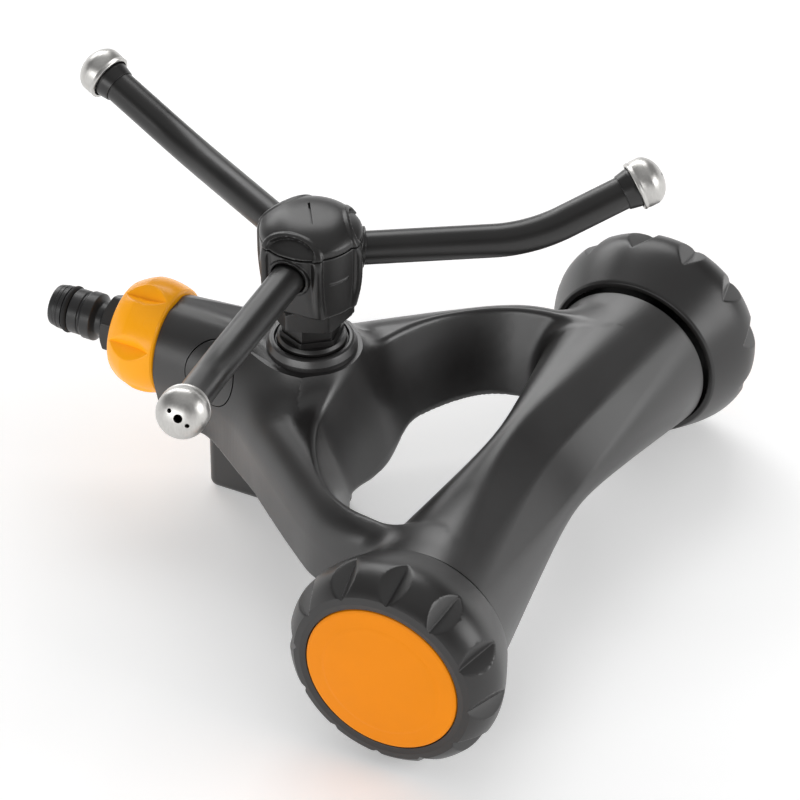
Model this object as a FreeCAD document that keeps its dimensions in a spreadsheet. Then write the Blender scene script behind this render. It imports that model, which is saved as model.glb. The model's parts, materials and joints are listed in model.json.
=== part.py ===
import FreeCAD, Part
import math
import os
import Sketcher

# Three-arm rotary lawn sprinkler on a Y-shaped carriage with two wheels.
# Millimetres, +Z up, origin on the ground under the rotor's axis, +X from the hose towards the wheels.

V = FreeCAD.Vector
X_AXIS = V(1, 0, 0)
Y_AXIS = V(0, 1, 0)
Z_AXIS = V(0, 0, 1)

DRIVING_SIZES = {
    # clearances
    "running_gap": 0.05,
    "free_gap": 0.3,
    "wall": 2.6,
    # wheels and axle
    "wheel_radius": 37.5,
    "wheel_width": 31.0,
    "tread_inner_drop": 7.3,
    "tread_outer_drop": 6.3,
    "wheel_inner_y": 81.2,
    "axle_x": 83.5,
    "axle_height": 37.5,
    "axle_radius": 3.0,
    "rim_opening": 28.8,
    "disc_radius": 27.2,
    "web_back": 22.0,
    "web_face": 25.0,
    "ledge_height": 28.4,
    "hub_radius": 8.0,
    "flange_radius": 28.7,
    "flange_y": 80.0,
    "washer_radius": 7.5,
    "washer_height": 1.0,
    "clip_radius": 6.5,
    "clip_height": 1.0,
    # inlet line, along X
    "inlet_height": 53.0,
    "neck_radius": 16.9,
    "neck_end_x": -53.0,
    "spigot_radius": 13.1,
    "spigot_bore": 9.0,
    "spigot_length": 10.0,
    "nut_radius": 18.2,
    "nut_lobe_radius": 4.6,
    "nut_lobe_centre": 15.9,
    "nut_length": 18.7,
    "nut_end_wall": 3.5,
    "washer_thickness": 2.0,
    "adapter_bore": 5.0,
    "adapter_flange": 12.6,
    "adapter_flange_height": 2.9,
    "adapter_sleeve": 9.6,
    "adapter_hex_flats": 19.0,
    "adapter_length": 36.3,
    "barrel_radius": 8.5,
    "plug_x": -30.0,
    "plug_height": 58.0,
    "plug_radius": 9.9,
    "foot_rear_x": -38.0,
    "foot_front_x": 12.0,
    "foot_half_width": 8.0,
    # riser and rotor, along Z
    "boss_top": 73.5,
    "boss_radius": 15.8,
    "boss_seat": 69.2,
    "socket_radius": 12.4,
    "socket_floor": 70.4,
    "gland_bottom": 72.3,
    "gland_radius": 11.5,
    "gland_flange_top": 75.2,
    "gland_neck_flats": 18.0,
    "run_radius": 7.2,
    "run_bore": 5.4,
    "hex_flats": 25.6,
    "hex_bottom": 85.9,
    "hex_top": 90.8,
    "spindle_radius": 5.0,
    "spindle_bore": 3.2,
    "spindle_top": 112.0,
    "sleeve_top": 101.0,
    "head_bottom": 92.0,
    "head_joint": 116.8,
    "head_top": 124.6,
    "head_lobe_reach": 18.4,
    "head_lobe_radius": 8.4,
    "head_lobe_angle": 35.0,
    "head_side_radius": 17.4,
    "chamber_radius": 8.2,
    # arms
    "arm_height": 108.9,
    "arm_azimuth": 32.3,
    "arm_radius": 5.75,
    "arm_bore": 4.1,
    "arm_root": 10.5,
    "arm_run": 74.4,
    "arm_rise": 19.2,
    "arm_turn": 13.4,
    "arm_bend": 62.0,
    "arm_reach": 39.2,
    "cap_radius": 8.5,
    "cap_length": 10.4,
    # body shell and underside
    "shell_bottom": 30.0,
    "cover_bottom": 30.6,
    "cover_thickness": 2.2,
    "collar_spigot": 14.9,
    "screw_core": 1.3,
    "screw_head": 3.0,
}


class Size:
    """A length that knows both its value and the spreadsheet expression behind it."""

    def __init__(self, text, value):
        self.text = text
        self.value = value

    def _join(self, sign, other, value):
        return Size("(%s %s %s)" % (self.text, sign, size_of(other).text), value)

    def __add__(self, other):
        return self._join("+", other, self.value + size_of(other).value)

    def __sub__(self, other):
        return self._join("-", other, self.value - size_of(other).value)

    def __mul__(self, other):
        return self._join("*", other, self.value * size_of(other).value)

    def __truediv__(self, other):
        return self._join("/", other, self.value / size_of(other).value)

    def __neg__(self):
        return Size("(-1 * %s)" % self.text, -self.value)


def size_of(item):
    """Turn a plain number into a Size; leave a Size as it is."""
    if isinstance(item, Size):
        return item
    return Size("%.6g" % item, float(item))


doc = FreeCAD.newDocument("sprinkler")
sheet = doc.addObject("Spreadsheet::Sheet", "Sizes")
for row, (alias, number) in enumerate(DRIVING_SIZES.items(), start=1):
    sheet.set("A%d" % row, alias)
    sheet.set("B%d" % row, str(number))
    sheet.setAlias("B%d" % row, alias)
doc.recompute()

S = {alias: Size("Sizes.%s" % alias, float(sheet.get(alias))) for alias in DRIVING_SIZES}
subparts = []


def mm(alias):
    """A driving size as the spreadsheet holds it, for shapes that are built directly."""
    return float(sheet.get(alias))


# ---------------------------------------------------------------- helpers

def bind(item, prop, amount):
    """Drive one property of a document object from the spreadsheet."""
    item.setExpression(prop, size_of(amount).text)


def place(item, base=(0, 0, 0), rotation=None):
    """Position a finished sub-part: by a ready Placement, or by a base point bound to the sheet."""
    if isinstance(base, FreeCAD.Placement):
        item.Placement = base
        return
    base = [size_of(value) for value in base]
    item.Placement = FreeCAD.Placement(V(*[value.value for value in base]), rotation or FreeCAD.Rotation())
    for letter, value in zip("xyz", base):
        bind(item, "Placement.Base.%s" % letter, value)


def keep(item, label):
    """Register a document object as one sub-part of the sprinkler."""
    item.Label = label
    subparts.append(item)
    return item


def turn(axis, degrees):
    return FreeCAD.Rotation(axis, degrees)


def origin_plane(body, role):
    return next(feature for feature in body.Origin.OriginFeatures if feature.Role == role)


def new_sketch(body, name, role):
    sketch = body.newObject("Sketcher::SketchObject", name)
    sketch.AttachmentSupport = [(origin_plane(body, role), "")]
    sketch.MapMode = "FlatFace"
    return sketch


def fix_point(sketch, edge, end, point):
    """Hold one end of a sketch edge at a point given as two Sizes."""
    for kind, coordinate in zip(("DistanceX", "DistanceY"), point):
        coordinate = size_of(coordinate)
        index = sketch.addConstraint(Sketcher.Constraint(kind, -1, 1, edge, end, coordinate.value))
        bind(sketch, "Constraints[%d]" % index, coordinate)


def add_outline(sketch, outline):
    """Closed outline. Each entry is (a, b) or (a, b, radius): the radius rounds the edge to the next
    point, bulging to its left when positive and to its right when negative."""
    count = len(outline)
    edges = []
    for number, entry in enumerate(outline):
        start = [size_of(value) for value in entry[:2]]
        finish = [size_of(value) for value in outline[(number + 1) % count][:2]]
        p, q = V(start[0].value, start[1].value, 0), V(finish[0].value, finish[1].value, 0)
        if len(entry) == 2:
            edges.append(sketch.addGeometry(Part.LineSegment(p, q), False))
            continue
        radius = size_of(entry[2])
        chord = q - p
        side = V(-chord.y, chord.x, 0).normalize() * math.copysign(1.0, radius.value)
        depth = abs(radius.value) - math.sqrt(radius.value ** 2 - chord.Length ** 2 / 4)
        edges.append(sketch.addGeometry(Part.Arc(p, (p + q) / 2 + side * depth, q), False))
    for number, entry in enumerate(outline):
        edge, after = edges[number], edges[(number + 1) % count]
        start_end, finish_end = outline_ends(sketch, edge, entry)
        after_start = outline_ends(sketch, after, outline[(number + 1) % count])[0]
        sketch.addConstraint(Sketcher.Constraint("Coincident", edge, finish_end, after, after_start))
        fix_point(sketch, edge, start_end, entry[:2])
        if len(entry) == 3:
            radius = size_of(entry[2])
            index = sketch.addConstraint(Sketcher.Constraint("Radius", edge, abs(radius.value)))
            bind(sketch, "Constraints[%d]" % index, radius if radius.value > 0 else -radius)


def outline_ends(sketch, edge, entry):
    """Sketch arcs always run anticlockwise, so an arc that bulges left starts at its second end."""
    clockwise = len(entry) == 3 and size_of(entry[2]).value > 0
    return (2, 1) if clockwise else (1, 2)


def revolved(label, outline, base=(0, 0, 0), rotation=None, cuts=()):
    """A turned piece: an (r, z) outline, and any (r, z) outlines grooved out of it, about local Z."""
    body = doc.addObject("PartDesign::Body", label)
    sketch = new_sketch(body, label + "_profile", "XZ_Plane")
    add_outline(sketch, outline)
    solid = body.newObject("PartDesign::Revolution", label + "_turned")
    solid.Profile = sketch
    solid.ReferenceAxis = (sketch, ["V_Axis"])
    solid.Angle = 360
    doc.recompute()
    for number, cut in enumerate(cuts):
        cut_sketch = new_sketch(body, "%s_groove_profile_%d" % (label, number), "XZ_Plane")
        add_outline(cut_sketch, cut)
        groove = body.newObject("PartDesign::Groove", "%s_groove_%d" % (label, number))
        groove.Profile = cut_sketch
        groove.ReferenceAxis = (cut_sketch, ["V_Axis"])
        groove.Angle = 360
        cut_and_check(body, groove)
    place(body, base, rotation)
    return keep(body, label)


def cut_and_check(body, feature):
    """Recompute a subtractive feature and stop if it removed nothing."""
    before = feature.BaseFeature.Shape.Volume
    doc.recompute()
    if not feature.Shape.Volume < before - 1e-6:
        raise RuntimeError("%s cuts nothing" % feature.Name)


def repeat_around(body, feature, count):
    """Repeat a feature evenly about the body's own Z axis."""
    pattern = body.newObject("PartDesign::PolarPattern", feature.Name + "_around")
    pattern.Originals = [feature]
    pattern.Axis = (origin_plane(body, "Z_Axis"), [""])
    pattern.Angle = 360
    pattern.Occurrences = count
    body.Tip = pattern
    doc.recompute()
    return pattern


def cut_around(body, name, role, outline, depth, count, offset=0, midplane=True):
    """Pocket an outline drawn on an origin plane, downwards or to both sides, and repeat it about Z."""
    sketch = new_sketch(body, name + "_profile", role)
    if size_of(offset).value:
        bind(sketch, "AttachmentOffset.Base.z", offset)
    add_outline(sketch, outline)
    pocket = body.newObject("PartDesign::Pocket", name)
    pocket.Profile = sketch
    pocket.Midplane = midplane
    bind(pocket, "Length", depth)
    cut_and_check(body, pocket)
    return repeat_around(body, pocket, count)


def tube_outline(inner, outer, low, high, chamfer=0):
    """(r, z) outline of a plain ring with chamfered outer corners."""
    if not chamfer:
        return [(inner, low), (outer, low), (outer, high), (inner, high)]
    return [(inner, low), (outer - chamfer, low), (outer, low + chamfer),
            (outer, high - chamfer), (outer - chamfer, high), (inner, high)]


def o_ring(label, ring_radius, cord_radius, base=(0, 0, 0), rotation=None):
    ring = doc.addObject("Part::Torus", label)
    bind(ring, "Radius1", ring_radius)
    bind(ring, "Radius2", cord_radius)
    place(ring, base, rotation)
    return keep(ring, label)


def solid_group(label, shapes):
    """Identical small pieces kept together in one sub-part."""
    group = doc.addObject("Part::Feature", label)
    group.Shape = Part.makeCompound(shapes)
    group.Placement = FreeCAD.Placement()
    return keep(group, label)


ALONG_Y = turn(X_AXIS, -90)
ALONG_MINUS_Y = turn(X_AXIS, 90)
ALONG_MINUS_X = turn(Y_AXIS, -90)


# ---------------------------------------------------------------- body shell

def closed_wire(points, smooth):
    """A closed section: a smooth spline outside, plain straight edges for the hidden cavity."""
    if not smooth:
        return Part.makePolygon(points + points[:1])
    curve = Part.BSplineCurve()
    curve.interpolate(points, PeriodicFlag=True)
    return Part.Wire([curve.toShape()])


def limb_wire(centre, heading, section, inset=0.0, drop=0.0):
    """One cross-section of a limb: (side, height) points set out across the heading, pulled in by
    inset towards its middle, with the lower points dropped to leave the underside open."""
    across = V(-heading.y, heading.x, 0).normalize()
    side_mean = sum(side for side, _ in section) / len(section)
    height_mean = sum(height for _, height in section) / len(section)
    points = []
    for side, height in section:
        offset = V(side - side_mean, height - height_mean, 0)
        offset = offset * max(0.05, 1.0 - inset / offset.Length)
        lowered = drop * min(1.0, max(0.0, -offset.y / 10.0))
        point = centre + across * (side_mean + offset.x)
        points.append(V(point.x, point.y, height_mean + offset.y - lowered))
    return closed_wire(points, smooth=inset == 0)


def ring_section(radius, height, count=12):
    return [(radius * math.cos(2 * math.pi * k / count), height + radius * math.sin(2 * math.pi * k / count))
            for k in range(count)]


def leg_section(inner, outer, low, high, crest):
    """Leg cross-section: a steep inner wall and a rounded back. Side is positive towards the opening."""
    span = high - low
    return [(inner + 3.0, low + 0.35 * span), (inner + 0.5, low + 0.72 * span), (inner - 2.5, high - 1.5),
            (crest, high), (outer + 5.0, high - 3.0), (outer + 1.2, low + 0.70 * span),
            (outer, low + 0.40 * span), (outer + 0.6, low + 0.12 * span), (outer + 4.0, low),
            ((inner + outer) / 2, low - 0.6), (inner + 1.5, low), (inner + 4.0, low + 0.12 * span)]


def crossbar_section(rear, front, low, high):
    """Crossbar cross-section in (x, z): a flat top, a soft front ridge and a bulging front face."""
    span = high - low
    return [(front, low + 0.38 * span), (front - 2.2, low + 0.68 * span), (front - 8.5, high - 2.6),
            (front - 17.0, high), (rear + 5.0, high + 0.4), (rear + 0.8, high - 4.0), (rear, low + 0.5 * span),
            (rear + 0.8, low + 0.15 * span), (rear + 5.0, low), ((rear + front) / 2, low - 0.6),
            (front - 5.0, low), (front - 1.0, low + 0.14 * span)]


def leg_solid(side, inset=0.0, drop=0.0):
    """One leg from the boss to its wheel flange; side is -1 or +1 along Y."""
    flange = ring_section(mm("flange_radius") - 0.4, mm("axle_height"))
    stations = [
        (V(-12, 4, 0), V(0.80, 0.60, 0), leg_section(12.0, -13.5, 30, 65, 1)),
        (V(13, 33, 0), V(0.76, 0.65, 0), leg_section(9.0, -15.0, 30, 61, 0)),
        (V(40, 58, 0), V(0.76, 0.65, 0), leg_section(9.5, -13.5, 26, 59, -1)),
        (V(mm("axle_x"), mm("flange_y") - 5 - inset, 0), Y_AXIS, flange),
    ]
    wires = []
    for centre, heading, section in stations:
        centre = V(centre.x, side * centre.y, 0)
        heading = V(heading.x, side * heading.y, 0)
        flipped = [(-side * (offset), height) for offset, height in section]
        wires.append(limb_wire(centre, heading, flipped, inset, drop))
    return Part.makeLoft(wires, True, True)


def crossbar_solid(inset=0.0, drop=0.0):
    """The waisted crossbar between the two wheel flanges."""
    end_y = mm("flange_y") - 4 - inset
    axle_x = mm("axle_x")
    middle = crossbar_section(70.0, 100.8, 29, 56.5)
    quarter = crossbar_section(66.5, 105.5, 28, 59.5)
    shoulder = crossbar_section(61.0, 108.6, 20, 62.5)
    end = ring_section(mm("flange_radius") - 0.2, mm("axle_height"))
    end = [(axle_x + side, height) for side, height in end]
    stations = [(-end_y, end), (-60, shoulder), (-32, quarter), (0, middle), (32, quarter), (60, shoulder),
                (end_y, end)]
    wires = [limb_wire(V(0, y, 0), -Y_AXIS, section, inset, drop) for y, section in stations]
    return Part.makeLoft(wires, True, True)


def cone_between(start, finish, start_radius, finish_radius):
    run = finish - start
    return Part.makeCone(start_radius, finish_radius, run.Length, start, run)


def body_solid(inset=0.0, drop=0.0):
    """The whole carriage outline, pulled in by inset for the cavity."""
    height = mm("inlet_height")
    neck_end = V(mm("neck_end_x") + 1.4 * inset, 0, height)
    neck_radius = mm("neck_radius")
    neck = cone_between(neck_end, V(-27, 0, height), neck_radius - inset, neck_radius + 2.9 - inset)
    boss = cone_between(V(0, 0, mm("shell_bottom") - drop), V(0, 0, mm("boss_seat") + 0.6 - inset),
                        24.0 - inset, mm("boss_radius") + 0.9 - inset)
    throat = cone_between(V(-27.5, 0, height - 0.2), V(2, 0, height - 3), neck_radius + 3.0 - inset, 20.6 - inset)
    solid = leg_solid(-1, inset, drop)
    for piece in (leg_solid(1, inset, drop), crossbar_solid(inset, drop), neck, boss, throat):
        solid = solid.fuse(piece)
    for side in (-1, 1):
        start = V(mm("axle_x"), side * (mm("flange_y") - 8), mm("axle_height"))
        flange = Part.makeCylinder(mm("flange_radius") - inset, 8 - inset, start, Y_AXIS * side)
        solid = solid.fuse(flange)
    return solid


SCREW_PLACES = [(-7, 21), (-7, -21), (27, 46), (27, -46), (95, 30), (95, -30)]
COVER_BOTTOM = mm("cover_bottom")
COVER_TOP = COVER_BOTTOM + mm("cover_thickness")
SCREW_CORE = mm("screw_core")


def carriage():
    """Cut the hollow shell, its cover, the side plug and the rear foot from the carriage outline."""
    wall = mm("wall")
    outline = body_solid()
    cavity = body_solid(wall, 14.0)
    shell = outline.cut(cavity)
    height = mm("inlet_height")
    axle_x = mm("axle_x")
    axle_height = mm("axle_height")
    for x, y in SCREW_PLACES:
        post = Part.makeCylinder(3.4, 40, V(x, y, COVER_TOP))
        shell = shell.fuse(post.common(outline))
    openings = [
        Part.makeCylinder(mm("spigot_radius") + 0.3, 12, V(mm("neck_end_x") - 1, 0, height), X_AXIS),
        Part.makeCylinder(mm("collar_spigot") + 0.05, 30, V(0, 0, mm("boss_seat") - 12), Z_AXIS),
        Part.makeCylinder(mm("boss_radius") + 0.6, 20, V(0, 0, mm("boss_seat")), Z_AXIS),
        Part.makeCylinder(mm("axle_radius") + 0.05, 2 * mm("flange_y") + 4,
                          V(axle_x, -mm("flange_y") - 2, axle_height), Y_AXIS),
    ]
    openings += [Part.makeCylinder(SCREW_CORE, 12, V(x, y, COVER_BOTTOM - 1)) for x, y in SCREW_PLACES]
    for opening in openings:
        shell = shell.cut(opening)

    bore_start = V(mm("plug_x"), -4, mm("plug_height"))
    plug = shell.common(Part.makeCylinder(mm("plug_radius") - 0.15, 24, bore_start, -Y_AXIS))
    shell = shell.cut(Part.makeCylinder(mm("plug_radius"), 24, bore_start, -Y_AXIS))

    slab = Part.makeBox(260, 260, COVER_TOP - COVER_BOTTOM, V(-100, -130, COVER_BOTTOM))
    cover = body_solid(wall + 0.1, 14.0).common(slab)
    for x, y in SCREW_PLACES:
        cover = cover.cut(Part.makeCylinder(SCREW_CORE + 0.3, 8, V(x, y, COVER_BOTTOM - 2)))

    foot_length = mm("foot_front_x") - mm("foot_rear_x")
    half = mm("foot_half_width")
    foot = Part.makeBox(foot_length, 2 * half, 42, V(mm("foot_rear_x"), -half, 0))
    upright = [edge for edge in foot.Edges if abs(edge.tangentAt(edge.FirstParameter).z) > 0.9]
    foot = foot.makeFillet(3.0, upright)
    under = Part.makeBox(60, 60, 40, V(mm("foot_rear_x") + 14, -30, COVER_BOTTOM))
    foot = foot.cut(under).cut(outline)
    foot = max(foot.Solids, key=lambda solid: solid.Volume)
    pocket = Part.makeBox(foot_length - 7, 2 * half - 7, 40, V(mm("foot_rear_x") + 3.5, 3.5 - half, 4))
    foot = foot.cut(pocket)
    return shell, plug, cover, foot


names = ("body_shell", "neck_plug", "bottom_cover", "rear_foot")
for name, shape in zip(names, carriage()):
    piece = doc.addObject("Part::Feature", name)
    piece.Shape = shape
    piece.Placement = FreeCAD.Placement()
    keep(piece, name)


# ---------------------------------------------------------------- axle and wheels

NOTCH_COUNT = 12


def crown_radius(run, drop):
    """Radius of an arc that falls by drop over run, starting parallel to the run."""
    return (run * run + drop * drop) / (drop * 2)


def wheel(label, side):
    """One-piece wheel, turned about its axle with scooped notches around the outer shoulder."""
    rim, width = S["wheel_radius"], S["wheel_width"]
    bore = S["axle_radius"] + S["running_gap"]
    opening, hub = S["rim_opening"], S["hub_radius"]
    recess = S["disc_radius"] + 0.2
    ledge = S["disc_radius"] - 2.4
    inner_drop, outer_drop = S["tread_inner_drop"], S["tread_outer_drop"]
    crown = width * 0.65
    crown_start, crown_drop = crown - 4.5, 1.0
    outline = [
        (bore, 0), (hub, 0), (hub, S["web_back"]), (opening, S["web_back"]), (opening, 0),
        (rim - inner_drop, 0), (rim - crown_drop, crown_start, -crown_radius(crown - crown_start, crown_drop)),
        (rim, crown, -crown_radius(width - crown, outer_drop)),
        (rim - outer_drop, width), (recess, width), (recess, S["ledge_height"]), (ledge, S["ledge_height"]),
        (ledge, S["web_face"]), (bore, S["web_face"]),
    ]
    base = (S["axle_x"], S["wheel_inner_y"] * side, S["axle_height"])
    half_pitch = turn(Z_AXIS, 180.0 / NOTCH_COUNT)
    body = revolved(label, outline, base, (ALONG_Y if side > 0 else ALONG_MINUS_Y).multiply(half_pitch))
    notch = [(rim + 1.0, width * 0.42), (rim + 1.0, width + 1.0), (rim - 5.0, width + 1.0),
             (rim - 3.6, width * 0.75)]
    cut_around(body, label + "_notch", "XZ_Plane", notch, 5.5, NOTCH_COUNT)
    return body


def hub_disc(label, side):
    """Slightly domed cover disc that snaps into the wheel's outer recess."""
    radius = S["disc_radius"]
    skirt = radius - 2.9
    outline = [
        (0, 1.6), (skirt - 1.4, 1.6), (skirt - 1.4, 0), (skirt, 0), (skirt, 1.6), (radius, 1.6),
        (radius, 3.4), (radius - 0.8, 4.0), (radius * 0.76, 4.35), (radius * 0.74, 4.55), (0, 4.9),
    ]
    base = (S["axle_x"], (S["wheel_inner_y"] + S["ledge_height"] - 1.6) * side, S["axle_height"])
    return revolved(label, outline, base, ALONG_Y if side > 0 else ALONG_MINUS_Y)


for side, name in ((1, "left"), (-1, "right")):
    wheel(name + "_wheel", side)
    hub_disc(name + "_hub_disc", side)

axle_half = S["wheel_inner_y"] + S["ledge_height"] - 0.6
axle_radius = S["axle_radius"]
revolved("axle_rod", [(0, -axle_half), (axle_radius - 0.5, -axle_half), (axle_radius, -axle_half + 0.5),
                      (axle_radius, axle_half - 0.5), (axle_radius - 0.5, axle_half), (0, axle_half)],
         (S["axle_x"], 0, S["axle_height"]), ALONG_Y)


def axle_rings(label, inner, outer, thickness, face_y):
    """A pair of flat rings on the axle, one at each end."""
    rings = []
    for side in (-1, 1):
        start = V(mm("axle_x"), side * face_y, mm("axle_height"))
        disc = Part.makeCylinder(outer, thickness, start, Y_AXIS * side)
        rings.append(disc.cut(Part.makeCylinder(inner, thickness, start, Y_AXIS * side)))
    return solid_group(label, rings)


axle_rings("axle_washers", mm("axle_radius") + 0.03, mm("washer_radius"), mm("washer_height"), mm("flange_y"))
axle_rings("axle_clips", mm("axle_radius"), mm("clip_radius"), mm("clip_height"),
           mm("wheel_inner_y") + mm("web_face") + 0.2)

# ---------------------------------------------------------------- underside screws

screws = []
for x, y in SCREW_PLACES:
    head = Part.makeCylinder(mm("screw_head"), 2.2, V(x, y, COVER_BOTTOM - 2.2))
    cross = Part.makeBox(4.0, 0.8, 1.2, V(x - 2.0, y - 0.4, COVER_BOTTOM - 2.2))
    shank = Part.makeCylinder(SCREW_CORE - 0.02, 10.0, V(x, y, COVER_BOTTOM))
    screws.append(head.cut(cross).fuse(shank).removeSplitter())
solid_group("cover_screws", screws)


# ---------------------------------------------------------------- water line inside the carriage

def primitive(kind, name, **sizes):
    item = doc.addObject(kind, name)
    for prop, amount in sizes.items():
        bind(item, prop, amount)
    return item


def combine(kind, name, items):
    """Part::MultiFuse of everything, or Part::Cut of the first two."""
    item = doc.addObject(kind, name)
    if kind == "Part::MultiFuse":
        item.Shapes = items
    else:
        item.Base, item.Tool = items
    return item


def x_cylinder(name, radius, length, start_x, height):
    """Cylinder along +X at the given height."""
    item = primitive("Part::Cylinder", name, Radius=radius, Height=length)
    place(item, (start_x, 0, height), turn(Y_AXIS, 90))
    return item


def z_cylinder(name, radius, length, bottom):
    item = primitive("Part::Cylinder", name, Radius=radius, Height=length)
    place(item, (0, 0, bottom))
    return item


inlet_z = S["inlet_height"]
spigot_end = S["neck_end_x"] - S["spigot_length"]
tube_front = S["spindle_radius"] + 4.6
water_tube_outside = combine("Part::MultiFuse", "water_tube_outside", [
    x_cylinder("inlet_spigot", S["spigot_radius"], S["spigot_length"] + S["wall"] + 2.0, spigot_end, inlet_z),
    x_cylinder("inlet_shoulder", S["spigot_radius"] + 1.0, 4.0, S["neck_end_x"] + S["wall"] + 1.1, inlet_z),
    x_cylinder("inlet_run", S["run_radius"], tube_front - S["neck_end_x"], S["neck_end_x"], inlet_z),
    z_cylinder("riser_socket", S["spindle_radius"] + 3.5, S["socket_floor"] - inlet_z, inlet_z),
])
water_tube_inside = combine("Part::MultiFuse", "water_tube_inside", [
    x_cylinder("inlet_bore", S["spigot_bore"], S["spigot_length"] + 4.0, spigot_end, inlet_z),
    x_cylinder("run_bore", S["run_bore"], tube_front - 2.4 - spigot_end, spigot_end, inlet_z),
    z_cylinder("riser_bore", S["spindle_radius"], S["socket_floor"] - inlet_z + 1, inlet_z),
])
keep(combine("Part::Cut", "water_tube", [water_tube_outside, water_tube_inside]), "water_tube")

revolved("inlet_filter", [(0, 0), (6.6, 0), (6.6, 7.0), (8.0, 7.0), (8.0, 8.0), (5.9, 8.0), (5.9, 0.8), (0, 0.8)],
         (spigot_end + 8.2, 0, inlet_z), ALONG_MINUS_X)
revolved("spigot_gasket", tube_outline(S["adapter_bore"] + 1.5, S["spigot_radius"] - 0.6, 0,
                                       S["washer_thickness"] - 0.1),
         (spigot_end - 0.05, 0, inlet_z), ALONG_MINUS_X)


# ---------------------------------------------------------------- hose union and quick connector

def union_nut():
    """Captive nut with six thumb lobes around its grip."""
    body = doc.addObject("PartDesign::Body", "union_nut")
    sketch = new_sketch(body, "union_nut_profile", "XZ_Plane")
    radius, length = S["nut_radius"], S["nut_length"]
    sleeve_hole = S["adapter_sleeve"] + 0.1
    thread = S["spigot_radius"] + S["running_gap"]
    add_outline(sketch, [
        (thread, 0), (radius - 0.8, 0), (radius, 0.8), (radius, length * 0.62, -16), (radius - 2.6, length),
        (sleeve_hole, length), (sleeve_hole, length - S["nut_end_wall"]), (thread, length - S["nut_end_wall"]),
    ])
    ring = body.newObject("PartDesign::Revolution", "union_nut_ring")
    ring.Profile = sketch
    ring.ReferenceAxis = (sketch, ["V_Axis"])
    ring.Angle = 360
    doc.recompute()
    lobe_sketch = new_sketch(body, "union_nut_lobe_profile", "XY_Plane")
    lobe = lobe_sketch.addGeometry(Part.Circle(V(S["nut_lobe_centre"].value, 0, 0), Z_AXIS, 4.0), False)
    index = lobe_sketch.addConstraint(Sketcher.Constraint("Radius", lobe, 4.0))
    bind(lobe_sketch, "Constraints[%d]" % index, S["nut_lobe_radius"])
    fix_point(lobe_sketch, lobe, 3, (S["nut_lobe_centre"], 0))
    pad = body.newObject("PartDesign::Pad", "union_nut_lobe")
    pad.Profile = lobe_sketch
    bind(pad, "Length", length * 0.8)
    doc.recompute()
    repeat_around(body, pad, 6)
    bore_sketch = new_sketch(body, "union_nut_bore_profile", "XZ_Plane")
    add_outline(bore_sketch, [(0, -1), (thread, -1), (thread, length - S["nut_end_wall"]),
                              (0, length - S["nut_end_wall"])])
    bore = body.newObject("PartDesign::Groove", "union_nut_bore")
    bore.Profile = bore_sketch
    bore.ReferenceAxis = (bore_sketch, ["V_Axis"])
    bore.Angle = 360
    cut_and_check(body, bore)
    place(body, (S["neck_end_x"] - S["free_gap"], 0, inlet_z), ALONG_MINUS_X)
    return keep(body, "union_nut")


union_nut()

# Adapter heights are measured from its inner flange face towards the hose.
adapter_start = spigot_end - S["washer_thickness"] - 0.1
sleeve_end = adapter_start - S["neck_end_x"] + S["nut_length"] + S["free_gap"] * 2
adapter_outline = [
    (S["adapter_bore"], 0), (S["adapter_flange"], 0), (S["adapter_flange"], S["adapter_flange_height"]),
    (S["adapter_sleeve"], S["adapter_flange_height"]), (S["adapter_sleeve"], sleeve_end),
    (11.0, sleeve_end), (11.0, sleeve_end + 5.4), (9.6, sleeve_end + 6.4), (6.3, sleeve_end + 8.2),
    (6.3, sleeve_end + 10.4), (S["barrel_radius"], sleeve_end + 12.2), (S["barrel_radius"], sleeve_end + 15.6),
    (S["barrel_radius"] - 1.0, sleeve_end + 16.6), (S["barrel_radius"] - 0.6, sleeve_end + 17.4),
    (S["barrel_radius"] - 0.6, sleeve_end + 20.8), (6.2, sleeve_end + 20.8), (6.2, sleeve_end + 23.6),
    (7.8, sleeve_end + 23.6), (7.8, sleeve_end + 27.2, -3.2), (6.0, S["adapter_length"]),
    (S["adapter_bore"], S["adapter_length"]),
]
adapter = revolved("hose_adapter", adapter_outline, (adapter_start, 0, inlet_z), ALONG_MINUS_X)
half_flat = S["adapter_hex_flats"] / 2
cut_around(adapter, "wrench_flat", "XY_Plane",
           [(half_flat, -8), (12.5, -8), (12.5, 8), (half_flat, 8)], 6.2, 6,
           offset=sleeve_end + 6.4, midplane=False)
o_ring("adapter_o_ring", 7.35, 1.1, (adapter_start - sleeve_end - 22.2, 0, inlet_z), ALONG_MINUS_X)

# ---------------------------------------------------------------- riser, gland and rotor bearing

boss_seat, collar_top = S["boss_seat"], S["boss_top"]
socket_radius, collar_radius = S["socket_radius"], S["boss_radius"]
revolved("boss_collar", [
    (socket_radius, boss_seat - 1.4), (S["collar_spigot"], boss_seat - 1.4),
    (S["collar_spigot"], boss_seat), (collar_radius, boss_seat),
    (collar_radius, boss_seat + 0.9), (collar_radius - 1.7, collar_top - 0.7),
    (collar_radius - 2.4, collar_top), (socket_radius, collar_top)])

spindle_radius = S["spindle_radius"]
clip_height = S["sleeve_top"] + 1.3
port_height = S["arm_height"]
spindle = revolved("spindle", [
    (S["spindle_bore"], inlet_z), (spindle_radius, inlet_z), (spindle_radius, clip_height),
    (spindle_radius - 0.7, clip_height), (spindle_radius - 0.7, clip_height + 1.1),
    (spindle_radius, clip_height + 1.1), (spindle_radius, S["spindle_top"] - 1),
    (spindle_radius - 1, S["spindle_top"]), (0, S["spindle_top"]), (0, S["spindle_top"] - 3),
    (S["spindle_bore"], S["spindle_top"] - 3)])
cut_around(spindle, "water_port", "XZ_Plane",
           [(1, port_height - 2.2), (6, port_height - 2.2), (6, port_height - 0.2), (1, port_height - 0.2)], 3.0, 3)

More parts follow.
